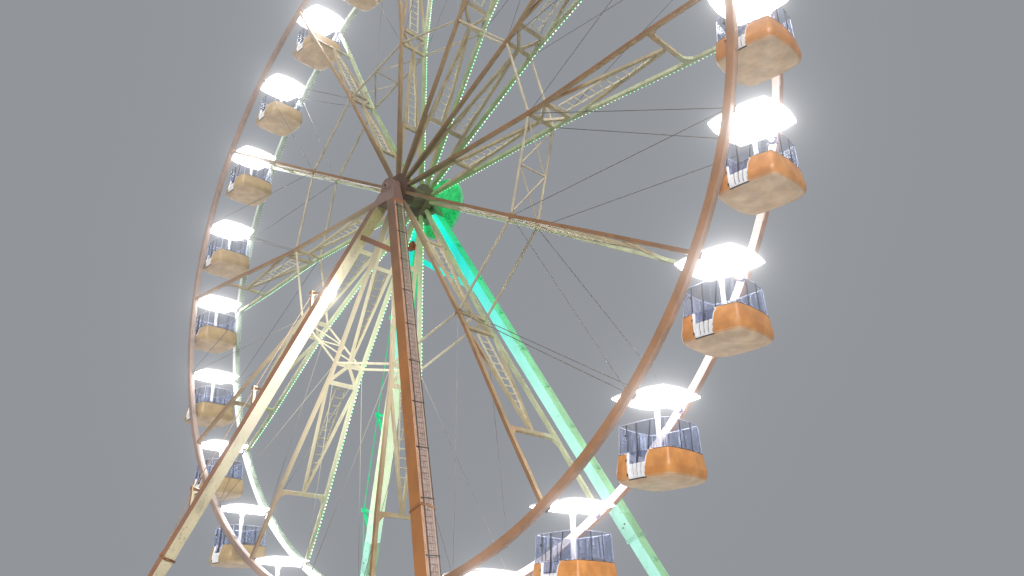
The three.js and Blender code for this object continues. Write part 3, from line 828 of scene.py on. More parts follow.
greens = (("greenTop", "greenLow"), ("cyan", "mint"), (2.0, 9.0))
materials = {
    "spoke": spokePaint(),
    "frontRing": ringPaint("frontRingPaint", rgb(166, 120, 84), rgb(240, 206, 188), rgb(190, 156, 134),
                           rgb(160, 134, 122), "Faces hub", 0.16),
    "rearRing": ringPaint("rearRingPaint", rgb(232, 214, 206), rgb(222, 184, 166), rgb(214, 168, 146),
                          rgb(198, 214, 200), "Faces front", 0.6),
    "bearing": metalMaterial("bearingSteel", rgb(112, 104, 124), 0.42, 14.0, 0.6),
    "lamp": lampMaterial("greenLamps", rgb(140, 245, 180), rgb(236, 255, 240), 2.6),
    "lampPlain": painted("ringLamps", (214, 240, 222), 30.0, 0.1, 0.0),
    "ladder": painted("ladderSteel", (216, 208, 182), 6.0, 0.3, 0.3),
    "hub": hubPaint(),
    "frontLeftLeg": legPaint("frontLeftLegPaint", ("nearTop", "cream"), ("warmTop", "redBrown"), (0.8, 3.6),
                             floodlit=True),
    "frontRightLeg": legPaint("frontRightLegPaint", ("redBrown", "cream"), ("warmTop", "warm"), (1.0, 9.0)),
    "rearLeg": legPaint("rearLegPaint", *greens, 0.4),
    "rearLeftLeg": legPaint("rearLeftLegPaint", ("greenTop", "lightWashed"), ("cyan", "lightWashed"), (3.0, 7.0), 0.4,
                            low="mint", arms="greenArm"),
    "flange": legPaint("flangePaint", *greens, 0.15),
    "frontFlange": painted("frontFlangePaint", (158, 108, 68), 4.0, 0.4),
    "rearHead": painted("rearHeadPaint", (92, 128, 90), 3.0, 0.5, 0.7),
    "head": painted("headPaint", (128, 104, 96), 3.0, 0.5, 0.7),
    "tiles": tileMaterial(),
    "panelBack": painted("panelBack", (74, 66, 64), 6.0, 0.35, 0.0),
    "pinkStrip": painted("panelEdge", (196, 150, 126), 4.0, 0.2),
    "lightStrip": painted("panelStrip", (186, 166, 152), 4.0, 0.2),
    "darkStrip": painted("panelShade", (96, 74, 60), 4.0, 0.3),
    "disc": discMaterial(),
    "discLamp": lampMaterial("discLamps", rgb(40, 214, 120), rgb(120, 244, 176), 0.35, 0.8),
    "rim": painted("rimPaint", (120, 232, 168), 6.0, 0.35, 0.1),
    "red": painted("redBoxPaint", (168, 52, 34), 6.0, 0.35, 0.4),
    "flood": floodMaterial(),
    "shell": shellMaterial(),
    "roof": roofMaterial(),
    "screen": clearMaterial("clearScreen", rgb(72, 84, 118), rgb(182, 194, 222), (0.24, 0.46)),
    "pane": clearMaterial("doorPane", rgb(64, 72, 112), rgb(140, 150, 192), (0.5, 0.75)),
    "litFrame": litFrameMaterial(),
    "edging": metalMaterial("edgingStrip", rgb(196, 204, 232), 0.3, 9.0, 0.35),
    "white": painted("whitePaint", (246, 247, 250), 3.0, 0.08, 0.1),
    "rubber": painted("darkRubber", (34, 34, 36), 6.0, 0.35, 0.0, 0.75),
    "seat": painted("seatShell", (176, 178, 190), 4.0, 0.2, 0.1),
    "base": painted("basePaint", (196, 188, 168), 1.4, 0.6, 0.9),
    "bolt": metalMaterial("boltSteel", rgb(150, 148, 142), 0.35, 20.0),
    "galvanised": metalMaterial("galvanisedSteel", rgb(150, 152, 150), 0.5, 9.0, 0.8),
    "deck": metalMaterial("deckPlate", rgb(140, 142, 140), 0.45, 5.0, 0.85),
    "deckPlate": plateMaterial(),
    "timber": painted("packingTimber", (146, 116, 82), 5.0, 0.6, 0.2),
}
print("materials built:", len(materials))


def nodeFinish(name):
    # the rings, the gondolas and the disc have pieces in their place
    rules = (
        ("spoke", name.startswith("spoke")), ("hub", name == "hub"),
        ("rearHead", name == "rear_head"), ("head", name.endswith("head")),
        ("frontLeftLeg", name in ("front_left_leg", "front_leg_tie")),
        ("frontRightLeg", name == "front_right_leg"), ("rearLeftLeg", name == "rear_left_leg"),
        ("rearLeg", name.startswith("rear") and "leg" in name), ("base", "beam" in name),
        ("deck", name.startswith(("deck", "boarding")) or "step" in name), ("galvanised", "railing" in name),
    )
    return next((finish for finish, fits in rules if fits), None)


def paintFrame():
    for name in frame["nodes"]:
        finish = nodeFinish(name)
        if not finish:
            continue
        node = bpy.data.objects[name]
        if not node.material_slots:
            node.data.materials.append(materials[finish])
        for holder in node.material_slots:
            holder.material = materials[finish]


paintFrame()


# Rings, with splice plates and the bearing flanges that carry the gondolas

ringLooks = {"deep": 0.22, "corner": 0.012, "steps": 288,
             "plates": 24, "halfPlate": 0.31, "plateThick": 0.012}


def makeRings():
    deep, thick, half = (ringLooks[key] for key in ("deep", "plateThick", "halfPlate"))
    inside, outside = ringRadius - deep / 2, ringRadius + deep / 2
    shape = {"Radius": ringRadius, "Deep": deep, "Wide": ringWidth, "Corner": ringLooks["corner"],
             "Steps": ringLooks["steps"], "Hub height": hubCentre.z}
    for end, side in (("front", -1), ("rear", 1)):
        finish = end + "Ring"
        mesh = runTree("sweptRing", end + "_ring_tube", {**shape, "Offset": side * ringOffset}, finish)
        dressPiece(end + "_ring_tube", mesh, finish, "wheel", (end + "_ring",))
        # doublers on both radial faces, halfway between two gondolas, and their bolts
        low, high = (side * ringOffset + share * (ringWidth / 2 - 0.02) for share in (-1, 1))
        plates = [boxMesh("doubler", (a, low, -half), (b, high, half), 0.003)
                  for a, b in ((inside - thick, inside + 0.002), (outside - 0.002, outside + thick))]
        turned = restTurn + tau / 48
        dressAround(end + "_ring_splices", plates, finish, ringLooks["plates"], turned)
        head = inside - thick - 0.012
        bolts = [boltMesh((head, side * ringOffset + across, along), (-1, 0, 0), 0.016, 0.014)
                 for along in (-0.24, -0.14, 0.14, 0.24) for across in (-0.05, 0.05)]
        dressAround(end + "_ring_bolts", bolts, "bolt", ringLooks["plates"], turned)
        makeBearings(end, side)
        print("ring dressed:", end)


def boltMesh(spot, axis, radius, height):
    # a hexagon head that stands from the spot back against the axis
    spot, axis = Vector(spot), Vector(axis).normalized()
    side = sideOf(axis)
    corners = circle(side, axis.cross(side), 6)
    points = [spot + axis * height * level + corner * radius * share
              for level, share in ((-0.3, 1.0), (0.7, 1.0), (1.0, 0.82)) for corner in corners]
    return meshFrom("bolt", points, endFaces(3, 6) + gridFaces(3, 6), 30)


def makeBearings(end, side):
    # the flanged bearing on the ring's inner face where a gondola's crossbeam ends
    inner = ringOffset - ringWidth / 2
    plateFace = inner - 0.008
    profile = ((0.001, 0.0), (0.001, 0.105), (-0.012, 0.105), (-0.02, 0.098), (-0.024, 0.085), (-0.04, 0.08),
               (-0.045, 0.074), (-0.045, 0.0))
    housing = latheAlongY("bearing", [(side * (inner + y), radius) for y, radius in profile], 24)
    low, high = sorted((side * inner, side * plateFace))
    plate = boxMesh("bearingPlate", (-0.15, low, -0.1), (0.15, high, 0.1), 0.002)
    for mesh in (housing, plate):
        mesh.transform(Matrix.Translation((ringRadius, 0, 0)))
    dressAround(end + "_trunnion_bearings", [housing, plate], "bearing", len(pivots))
    bolts = [boltMesh((ringRadius + across, side * plateFace, rise), (0, -side, 0), 0.014, 0.014)
             for across in (-0.125, 0.125) for rise in (-0.075, 0.075)]
    dressAround(end + "_bearing_bolts", bolts, "bolt", len(pivots))


# Lamps behind the rear chords and the rear ring

lampLooks = {"pitch": 0.135, "radius": 0.04, "height": 0.07, "ringRow": 13.91, "seed": 7}


def lampCap(facing=1, rows=((0.0, 1.0), (0.55, 0.92), (0.9, 0.6), (1.0, 0.0)), sides=7):
    # a small domed cap on +Y (or -Y)
    profile = [(facing * lampLooks["height"] * y, lampLooks["radius"] * r) for y, r in rows]
    return latheAlongY("lampCap", profile, sides)


def makeLamps():
    carrier = lampCap()
    rearFace = spokeSizes["chordWide"] / 2 - 0.004
    rows = []
    stops = [0.9] + [radius for radius, _ in spokeSizes["chordLine"][1:-1]] + [13.78]
    for lane, (low, high) in enumerate(zip(stops, stops[1:])):
        start, end = (Vector((stop, chordOffset(stop) + rearFace, 0)) for stop in (low, high))
        count = round((end - start).length / lampLooks["pitch"])
        end -= (end - start) / (count + 1)
        rows.append(alongLine("lampRow", carrier, "lamp", start, end, count, lampLooks["seed"] + lane))
    dressAround("spoke_lamps", rows, "lamp")
    count = int(tau * lampLooks["ringRow"] / lampLooks["pitch"])
    rim = lampCap(1, ((0.0, 1.0), (0.6, 0.9), (1.0, 0.0)), 6)
    rim.transform(Matrix.Translation((lampLooks["ringRow"], ringOffset + ringWidth / 2 - 0.004, 0)))
    dressAround("ring_lamps", [rim], "lampPlain", count)
    print("lamps placed")


# Service ladders inside the spokes; each run: from, to and half width

ladderLooks = {"rail": 0.042, "pitch": 0.295, "rung": 0.046, "gap": 0.05,
               "runs": ((3.0, 6.15, 0.17), (7.42, 11.1, 0.19))}


def makeLadders():
    parts = []
    rail, rung = ladderLooks["rail"], ladderLooks["rung"] / 2
    for start, end, half in ladderLooks["runs"]:
        count = round((end - start) / ladderLooks["pitch"]) + 1
        pitch = (end - start) / (count - 1)
        places = []
        for i in range(count):
            radius = start + i * pitch
            wide = max(0.03, min(half, braceOffset(radius) - ladderLooks["gap"]))
            places.append((radius, wide))
            parts.append(tubeMesh("rung", [(radius, -wide, 0), (radius, wide, 0)], rung, 6))
        for side in (-1, 1):
            line = [Vector((radius, side * wide, 0)) for radius, wide in places]
            parts += [barMesh("rail", a, b, rail * 1.5, rail * 0.6) for a, b in zip(line, line[1:])]
    dressAround("service_ladders", parts, "ladder")
    print("ladders made")


makeRings()
makeLamps()
makeLadders()


# Gondolas. One is made around its pivot and copied to the others.

gondolaLooks = {
    "narrow": 0.97,  # width along the axle as a share of the length
    # height from the pivot, half size, bulge of each side, and how far the corners are rounded off
    "tub": ((-2.06, 0.42, 0.05, 0.16), (-2.058, 0.52, 0.058, 0.18), (-2.05, 0.59, 0.064, 0.185),
            (-2.03, 0.665, 0.072, 0.19), (-2.0, 0.73, 0.08, 0.19), (-1.965, 0.765, 0.086, 0.175),
            (-1.92, 0.786, 0.09, 0.16), (-1.86, 0.797, 0.092, 0.14), (-1.755, 0.802, 0.095, 0.115),
            (-1.735, 0.8, 0.095, 0.112), (-1.715, 0.796, 0.094, 0.11), (-1.58, 0.776, 0.089, 0.09),
            (-1.45, 0.757, 0.083, 0.07), (-1.33, 0.735, 0.075, 0.05)),
    "screenTop": (-0.62, 0.71, 0.08, 0.03),
    "roof": ((0.08, 0.762, 0.112), (0.082, 0.784, 0.116), (0.092, 0.792, 0.118), (0.13, 0.792, 0.118),
             (0.142, 0.782, 0.116), (0.165, 0.7, 0.1), (0.205, 0.53, 0.072), (0.235, 0.36, 0.05),
             (0.25, 0.2, 0.03)),
    "roofCorner": 0.015, "wall": 0.04, "screenThick": 0.012, "floor": -1.93, "rim": -1.33,
    "post": 0.095, "fillet": 0.15, "topRail": 0.011, "stanchion": 0.011, "seam": 0.014,
    # the door in the side that faces -Y: its edges along X, and its heights
    "door": {"top": (-0.42, 0.3), "rim": (-0.42, 0.2), "sill": (-0.35, 0.13), "sillZ": -1.95,
             "panelZ": -1.6, "jamb": 0.04, "deep": 0.1, "flare": 0.075, "ribs": 4,
             "ribRun": (0.16, 0.84)},
    "steps": 8,
}
sideNarrow = (gondolaLooks["narrow"], 1.0, gondolaLooks["narrow"], 1.0)


def shellAt(z):
    # half size, bulge and corner of the tub and screens at a height
    return lookUp(gondolaLooks["tub"] + (gondolaLooks["screenTop"],), z)


def onSide(side, along, reach, bulge, proud=0.0):
    # side 0 faces +X, 1 +Y, 2 -X, 3 -Y; along runs anticlockwise seen from above
    narrow = gondolaLooks["narrow"]
    base, half = (reach, reach * narrow) if side % 2 == 0 else (reach * narrow, reach)
    out = base + bulge * (1 - (along / half) ** 2) + proud
    spot = (out, along), (-along, out), (-out, -along), (along, -out)
    return spot[side]


def outline(reach, bulge, corner=0.025, inset=0.0):
    # the bulged square with rounded corners, anticlockwise, always with the same number of points
    steps = gondolaLooks["steps"]
    reach -= inset
    corner = max(0.01, corner - inset * 0.4)
    points = []
    for side in range(4):
        half = reach * sideNarrow[side]
        for i in range(steps + 1):
            along = blend(-half + corner, half - corner, i / steps)
            points.append(onSide(side, along, reach, bulge))
        sharp = Vector(onSide(side, half, reach, bulge))
        here = Vector(points[-1])
        after = Vector(onSide((side + 1) % 4, -reach * sideNarrow[(side + 1) % 4] + corner, reach, bulge))
        for t in (0.25, 0.5, 0.75):
            points.append(tuple(here * (1 - t) ** 2 + sharp * 2 * t * (1 - t) + after * t ** 2))
    return points


def loftMesh(name, levels, closed=True, sharpAngle=35):
    # levels: pairs of z and an outline
    points = [Vector((x, y, z)) for z, ring in levels for x, y in ring]
    count = len(levels[0][1])
    last = (len(levels) - 1) * count
    faces = gridFaces(len(levels), count)
    if closed:
        for row, turn in ((0, -1), (last, 1)):
            points.append(Vector((0, 0, points[row].z)))
            faces += [(*(row + k, row + (k + 1) % count)[::turn], len(points) - 1) for k in range(count)]
    return meshFrom(name, points, faces, sharpAngle)


def curvedSlab(name, side, edges, heights, proud, columns=3, sharpAngle=40):
    # a closed slab that follows one side of the shell; edges(z) gives its two ends along the side,
    # proud gives how far its inner and outer faces stand off the shell
    points = []
    for inner in proud:
        for z in heights:
            low, high = edges(z)
            reach, bulge, _ = shellAt(z)
            for i in range(columns + 1):
                points.append(Vector((*onSide(side, blend(low, high, i / columns), reach, bulge, inner), z)))
    wide = columns + 1
    back = len(heights) * wide
    last = back - wide
    faces = []
    for row in range(0, last, wide):
        for a in range(row, row + columns):
            b = a + back
            faces += [(a, a + wide, a + wide + 1, a + 1), (b, b + 1, b + wide + 1, b + wide)]
    border = [*range(wide), *range(wide + columns, last + wide, wide),
              *range(last + columns - 1, last - 1, -1), *range(last - wide, 0, -wide)]
    faces += [(a, b, b + back, a + back) for a, b in zip(border, border[1:] + border[:1])]
    return meshFrom(name, points, faces, sharpAngle)


def spread(low, high, count):
    return [blend(low, high, i / (count - 1)) for i in range(count)]


def doorEdge(which, z):
    door = gondolaLooks["door"]
    top, rim, sill = (door[key][which] for key in ("top", "rim", "sill"))
    rimZ, topZ = gondolaLooks["rim"], gondolaLooks["screenTop"][0]
    if z > rimZ:
        return blend(rim, top, (z - rimZ) / (topZ - rimZ))
    flare = which * door["flare"] * max(0.0, 1 - (rimZ - z) / 0.16) ** 2
    return blend(sill, rim, (z - door["sillZ"]) / (rimZ - door["sillZ"])) + flare


def cutDoor(mesh):
    # takes the doorway out of the tub with a wedge-shaped cutter
    heights = [gondolaLooks["door"]["sillZ"] + 0.004] + spread(-1.6, -1.31, 5)
    edge = [(doorEdge(0, z) + 0.012, z) for z in heights]
    edge += [(doorEdge(1, z) - 0.012, z) for z in reversed(heights)]
    near, far = ([Vector((x, y, z)) for x, z in edge] for y in (-1.2, -0.62))
    cutter = addObject("cutter", prismMesh("cutter", near, far))
    tub = addObject("tubBlank", mesh)
    modifier = tub.modifiers.new("doorway", "BOOLEAN")
    modifier.operation = "DIFFERENCE"
    modifier.solver = "EXACT"
    modifier.object = cutter
    cut = bakeMesh("tub", tub, modifier, 28)
    bpy.data.objects.remove(cutter)
    return cut


def tubMesh():
    wall = gondolaLooks["wall"]
    outside = [(z, outline(*plan)) for z, *plan in gondolaLooks["tub"]]
    rim, *plan = gondolaLooks["tub"][-1]
    inside = [(rim + 0.006, outline(*plan, 0.008)), (rim + 0.006, outline(*plan, wall - 0.006)),
              (rim - 0.004, outline(*plan, wall))]
    inside += [(z, outline(*shellAt(z), wall)) for z in (-1.6, -1.86)]
    floor = (gondolaLooks["floor"], outline(0.74, 0.08, 0.14))
    return cutDoor(loftMesh("tub", outside + inside + [floor], sharpAngle=28))


def screensMesh():
    # three panes on each side; on the door's side they meet at the door's edges
    thick = gondolaLooks["screenThick"]
    low, high = gondolaLooks["rim"] + 0.02, gondolaLooks["screenTop"][0]
    slabs = []
    for side in range(4):
        for i in range(3):
            def edges(z, i=i):
                half = shellAt(z)[0] * sideNarrow[side] - 0.03
                stops = [blend(-half, half, k / 3) for k in range(4)]
                if side == 3:
                    stops = [-half, doorEdge(0, z), doorEdge(1, z), half]
                return stops[i] + 0.007, stops[i + 1] - 0.007
            slabs.append(curvedSlab("pane", side, edges, spread(low, high, 3), (-0.02 - thick, -0.02), 4))
    return joinMeshes("screens", slabs)


def roofMesh():
    corner = gondolaLooks["roofCorner"]
    levels = [(z, outline(reach, bulge, corner)) for z, reach, bulge in gondolaLooks["roof"]]
    under = [(0.086, outline(0.745, 0.109, corner)), (0.08, outline(0.752, 0.11, corner))]
    return loftMesh("roof", under + levels, sharpAngle=30)


def markLift(mesh):
    lift = mesh.attributes.new("lift", "FLOAT", "POINT")
    for vertex in mesh.vertices:
        lift.data[vertex.index].value = vertex.co.z
    return mesh


def frameMesh():
    half = gondolaLooks["post"] / 2
    floor, size = gondolaLooks["floor"], gondolaLooks["fillet"]
    thick = Vector((half * 0.92, 0, 0))
    reachY = ringOffset - ringWidth / 2 - 0.046
    parts = [boxMesh("post", (-half, -half, floor - 0.02), (half, half, 0.085), 0.012),
             latheAlongY("crossbeam", [(-reachY, 0.0), (-reachY, 0.06), (reachY, 0.06), (reachY, 0.0)], 16)]
    for side in (-1, 1):
        # gusset between post and crossbeam with a hollow curved edge
        points = [Vector((0, side * half * 0.5, -0.03))]
        points += [Vector((0, side * (half + size * (1 - math.sin(a))), -0.05 - size * (1 - math.cos(a))))
                   for a in (math.radians(90) * i / 8 for i in range(9))]
        points.append(Vector((0, side * half * 0.5, -0.05 - size)))
        parts.append(prismMesh("fillet", [p - thick for p in points], [p + thick for p in points], 40))
        # the bolts that hold the post under the crossbeam, and the seats' cross tube to the post
        for across in (-0.03, 0.03):
            parts.append(boltMesh((across, side * half, -0.1), (0, side, 0), 0.01, 0.01))
            parts.append(boltMesh((side * half, across, -1.22), (side, 0, 0), 0.01, 0.01))
    parts.append(boxMesh("roofPlate", (-0.2, -0.2, 0.062), (0.2, 0.2, 0.08), 0.004))
    parts.append(boxMesh("footPlate", (-0.14, -0.14, floor), (0.14, 0.14, -1.905), 0.006))
    return markLift(joinMeshes("frame", parts))


def edgingMesh():
    # the thin pale top rail of the screens, the corner stanchions and the clamps that hold the panes
    z, *plan = gondolaLooks["screenTop"]
    line = [Vector((x, y, z)) for x, y in outline(*plan, 0.024)]
    parts = [tubeMesh("topRail", line, gondolaLooks["topRail"], 6, closed=True)]
    for side in range(4):
        points = []
        for z in (-1.34, -1.0, -0.62):
            reach, bulge, _ = shellAt(z)
            points.append(Vector((*onSide(side, reach * sideNarrow[side] - 0.03, reach, bulge, -0.026), z)))
        parts.append(tubeMesh("stanchion", points, gondolaLooks["stanchion"], 6))
    reach, bulge, _ = shellAt(-1.31)
    for side in range(4):
        for share in (-0.85, -0.55, 0.55, 0.85):
            x, y = onSide(side, share * reach * sideNarrow[side], reach, bulge, -0.03)
            parts.append(boxMesh("clamp", (x - 0.018, y - 0.018, -1.335),
                                 (x + 0.018, y + 0.018, -1.29), 0.003))
    return joinMeshes("edging", parts)


def doorMesh():
    # white lining of the doorway, and the ribbed panel at its foot
    door = gondolaLooks["door"]
    jamb = door["jamb"]
    heights = spread(door["sillZ"], -1.5, 4) + spread(-1.45, -1.325, 4)

    def inside(z, under=0.0):
        # the doorway between its two jambs; under: how far it reaches behind the left one
        return doorEdge(0, z) + jamb - under, doorEdge(1, z) - jamb * 0.5

    parts = []
    for which, wide, proud in ((0, jamb, 0.014), (1, -0.55 * jamb, 0.006)):
        def edges(z, which=which, wide=wide):
            return tuple(sorted((doorEdge(which, z), doorEdge(which, z) + wide)))
        parts.append(curvedSlab("jamb", 3, edges, heights, (-door["deep"], proud), 1))
    low, high = door["sillZ"] + 0.03, door["panelZ"]
    parts.append(curvedSlab("sill", 3, inside, spread(door["sillZ"], low, 2), (-door["deep"], 0.008), 4))
    count = door["ribs"]
    for i in range(count):
        def edges(z, i=i):
            left, right = inside(z, 0.004)
            return tuple(blend(left, right, (i + share) / count) for share in door["ribRun"])
        parts.append(curvedSlab("rib", 3, edges, spread(low, high, 3), (-0.06, -0.012), 1, 60))
    return joinMeshes("door", parts)


def doorPaneMesh():
    # the clear sheet of the door, above the panel and behind the panel's ribs
    door = gondolaLooks["door"]
    return curvedSlab("doorPane", 3, lambda z: (doorEdge(0, z) + 0.012, doorEdge(1, z) - 0.012),
                      spread(door["sillZ"] + 0.01, -1.31, 7), (-0.056, -0.044), 4)


def fittingsMesh():
    # dark gasket under the screens, seams between the panes, the sill's shadow strip and the door's hinges
    door = gondolaLooks["door"]
    half = gondolaLooks["seam"] / 2
    middle = (door["rim"][0] + door["rim"][1]) / 2
    reach, bulge, corner = shellAt(gondolaLooks["rim"])
    outer, inner = outline(reach + 0.002, bulge, corner), outline(reach, bulge, corner, 0.045)
    gasket = loftMesh("gasket", [(-1.334, outer), (-1.322, outer), (-1.322, inner), (-1.334, inner)], False)
    trimmed = bmesh.new()
    trimmed.from_mesh(gasket)
    inDoorway = [v for v in trimmed.verts if v.co.y < -0.5 and abs(v.co.x - middle) < 0.3]
    bmesh.ops.delete(trimmed, geom=inDoorway, context="VERTS")
    parts = [meshOf("gasket", trimmed)]
    for side in range(4):
        for i in (1, 2):
            def edges(z, i=i):
                inner = shellAt(z)[0] * sideNarrow[side] - 0.03
                place = doorEdge(i - 1, z) if side == 3 else blend(-inner, inner, i / 3)
                return place - half, place + half
            parts.append(curvedSlab("seam", side, edges, spread(-1.32, -0.625, 4), (-0.036, -0.014), 1))
    parts.append(curvedSlab("doorSeam", 3, lambda z: (middle - half, middle + half),
                            spread(door["panelZ"], -0.63, 5), (-0.068, -0.012), 1))
    parts.append(curvedSlab("sillStrip", 3, lambda z: (door["sill"][0] - 0.02, door["sill"][1] + 0.02),
                            spread(-1.975, -1.953, 2), (-0.02, 0.008), 4))
    for z in (-1.85, -1.5, -0.9):
        x, y = onSide(3, doorEdge(0, z), *shellAt(z)[:2], 0.012)
        parts.append(boxMesh("hinge", (x - 0.03, y - 0.008, z - 0.03),
                             (x + 0.006, y + 0.02, z + 0.03), 0.004))
    return joinMeshes("fittings", parts)


def seatsMesh():
    # two moulded benches along the sides that face the turning direction
    profile = ((0.24, -1.93), (0.2, -1.56), (0.18, -1.535), (0.18, -1.515), (0.6, -1.53), (0.655, -1.24),
               (0.69, -1.235), (0.67, -1.93))
    benches = []
    for side in (-1, 1):
        near, far = ([Vector((side * x, y, z)) for x, z in profile] for y in (-0.6, 0.6))
        benches.append(prismMesh("bench", near, far, 20))
    return joinMeshes("seats", benches, 20)


def makeGondolas():
    shapes = {
        "tub": (tubMesh(), "shell", "gondola_shell"),
        "screens": (screensMesh(), "screen", "clear_screen"),
        "roof": (roofMesh(), "roof", "lit_roof"),
        "frame": (frameMesh(), "litFrame", "white_paint"),
        "edging": (edgingMesh(), "edging", "white_paint"),
        "door": (doorMesh(), "white", "white_paint"),
        "doorPane": (doorPaneMesh(), "pane", "clear_screen"),
        "fittings": (fittingsMesh(), "rubber", "dark_rubber"),
        "seats": (seatsMesh(), "seat", "gondola_shell"),
    }
    for part, (mesh, _, _) in shapes.items():
        print("gondola", part, "triangles:", sum(len(p.vertices) - 2 for p in mesh.polygons))
    for body, pivot in pivots.items():
        for part, (mesh, finish, slot) in shapes.items():
            copy = mesh.copy()
            copy.name = f"{body}_{part}"
            copy.transform(Matrix.Translation(pivot))
            dressPiece(copy.name, copy, finish, body, (body,) if part == "tub" else ())
    print("gondolas dressed:", len(pivots))


makeGondolas()


# Supports: legs, heads, the disc of lights, base frame, deck, steps and railings

legLooks = {
    "splice": 12.35, "flangeOver": 0.025, "flangeThick": 0.04, "collar": (11.3, 12.3),
    "panelRun": (1.0, 16.2), "module": 1.36, "firstSeam": 1.18, "tilePitch": 0.158, "columns": 3,
    # places across the panelled face, along Y from the leg's middle
    "tiles": (-0.1, 0.09), "back": (-0.125, 0.1), "light": (0.102, 0.145), "dark": (0.148, 0.2),
    "pink": (-0.2, -0.142),
    "brackets": (2.0, 16.0), "bracketPitch": 1.36, "floodDrop": 3.85,
}


def legSlab(end, side, drops, across, proud):
    # a plate that lies on a leg's outer face, which looks along X; across runs along Y
    corners = [legPoint(end, side, drop) + Vector((side * (legSizes["wide"] / 2 + out), y, 0))
               for drop in drops for out in proud for y in across]
    faces = [(0, 1, 3, 2), (4, 6, 7, 5), (0, 2, 6, 4), (1, 5, 7, 3), (0, 4, 5, 1), (2, 3, 7, 6)]
    return meshFrom("slab", corners, faces, 30)


def makeTilePanel():
    leg = ("front", 1)
    start, stop = legLooks["panelRun"]
    backs = [legSlab(*leg, (start, stop), legLooks["back"], (-0.002, 0.014))]
    drop = legLooks["firstSeam"]
    while drop < stop:
        backs.append(legSlab(*leg, (drop, drop + 0.03), (-0.198, 0.198), (-0.002, 0.032)))
        drop += legLooks["module"]
    dressPiece("tile_panel_backs", backs, "panelBack", sharpAngle=30)
    pitch = legLooks["tilePitch"]
    low, high = legLooks["tiles"]
    wide = (high - low) / legLooks["columns"]
    tiles = [legSlab(*leg, (0.006, pitch - 0.006), (left + 0.003, left + wide - 0.003), (0.01, 0.028))
             for left in (low + column * wide for column in range(legLooks["columns"]))]
    row = joinMeshes("tileRow", tiles, 30)
    row.transform(Matrix.Translation(-legPoint(*leg, 0)))
    rows = int((stop - start) / pitch)
    ends = (legPoint(*leg, start), legPoint(*leg, start + pitch * (rows - 1)))
    dressPiece("tile_panel", alongLine("tile_panel", row, "tiles", *ends, rows, 4), "tiles")
    for key, proud in (("pink", 0.012), ("light", 0.03), ("dark", 0.01)):
        strip = legSlab(*leg, (start, stop), legLooks[key], (-0.002, proud))
        dressPiece(f"panel_{key}_strip", strip, key + "Strip")


def makeLegSplices():
    bolts = []
    over = legLooks["flangeOver"]
    half = legLooks["flangeThick"] / 2
    wide, thick = legSizes["wide"] * 0.91 + 2 * over, legSizes["thick"] + 2 * over
    for end in ("front", "rear"):
        flanges = []
        for side in (-1, 1):
            axis = (legPoint(end, side, 10) - legPoint(end, side, 0)).normalized()
            across = (Vector((1, 0, 0)) - axis * axis.x).normalized()
            away = axis.cross(across)
            middle = legPoint(end, side, legLooks["splice"])
            for shift in (-half - 0.002, half + 0.002):
                a, b = (middle + axis * (shift + out) for out in (-half + 0.004, half - 0.004))
                flanges.append(barMesh("flange", a, b, wide, thick, bevel=0.004))
            for i in range(4):
                turn = Matrix.Rotation(i * math.pi / 2, 3, axis)
                for k in (-1.5, -0.5, 0.5, 1.5):
                    spot = middle + turn @ (across * 0.2 + away * (k * 0.095)) + axis * -2 * half
                    bolts.append(boltMesh(spot, -axis, 0.014, 0.018))
            if end == "rear":
                # the wider upper section that the lower one slides into, with its pins
                a, b = (legPoint(end, side, drop) for drop in legLooks["collar"])
                flanges.append(barMesh("collar", a, b, wide - 0.02, thick - 0.02, bevel=0.004))
                for x, drop in ((-0.06, 12.05), (0.07, 11.95)):
                    spot = legPoint(end, side, drop) + Vector((x, -thick / 2 + 0.006, 0))
                    bolts.append(boltMesh(spot, (0, -1, 0), 0.03, 0.012))
        dressPiece(end + "_leg_splices", flanges, "flange" if end == "rear" else "frontFlange")
    dressPiece("leg_splice_bolts", bolts, "bolt", sharpAngle=30)


def makeLegBrackets():
    brackets = []
    drop, last = legLooks["brackets"]
    while drop < last:
        brackets.append(legSlab("rear", 1, (drop, drop + 0.1), (-0.1, 0.1), (-0.005, 0.045)))
        brackets.append(legSlab("rear", 1, (drop + 0.04, drop + 0.06), (-0.18, 0.18), (-0.005, 0.012)))
        drop += legLooks["bracketPitch"]
    dressPiece("rear_leg_brackets", brackets, "flange")


def makeFeet():
    # foot plates' bolts, and the gusset plates between the legs and the feet
    feet = []
    gussets = []
    for end in ("front", "rear"):
        for side in (-1, 1):
            foot = legPoint(end, side, legSizes["footDrop"])
            feet += [boltMesh(foot + Vector((x, y, 0.04)), upwards, 0.024, 0.03)
                     for x in (-0.36, 0.36) for y in (-0.18, -0.06, 0.06, 0.18)]
            shape = ((-0.38, 0.038), (0.38, 0.038), (-side * 0.26, 0.4), (-side * 0.3, 0.4))
            for y in (-0.2, 0.2):
                near, far = ([foot + Vector((x, y + t, z)) for x, z in shape] for t in (-0.008, 0.008))
                gussets.append(prismMesh("gusset", near, far, 30))
    dressPiece("foot_bolts", feet, "bolt", sharpAngle=30)
    dressPiece("foot_gussets", gussets, "base", sharpAngle=30)


def boltCircle(count, radius, y, first, size, height):
    # bolts round the axle that stand outwards from a bearing head
    bolts = []
    for i in range(count):
        angle = tau * (i + first) / count
        spot = axleCentre + Vector((radius * math.cos(angle), y, radius * math.sin(angle)))
        bolts.append(boltMesh(spot, (0, math.copysign(1, y), 0), size, height))
    return bolts


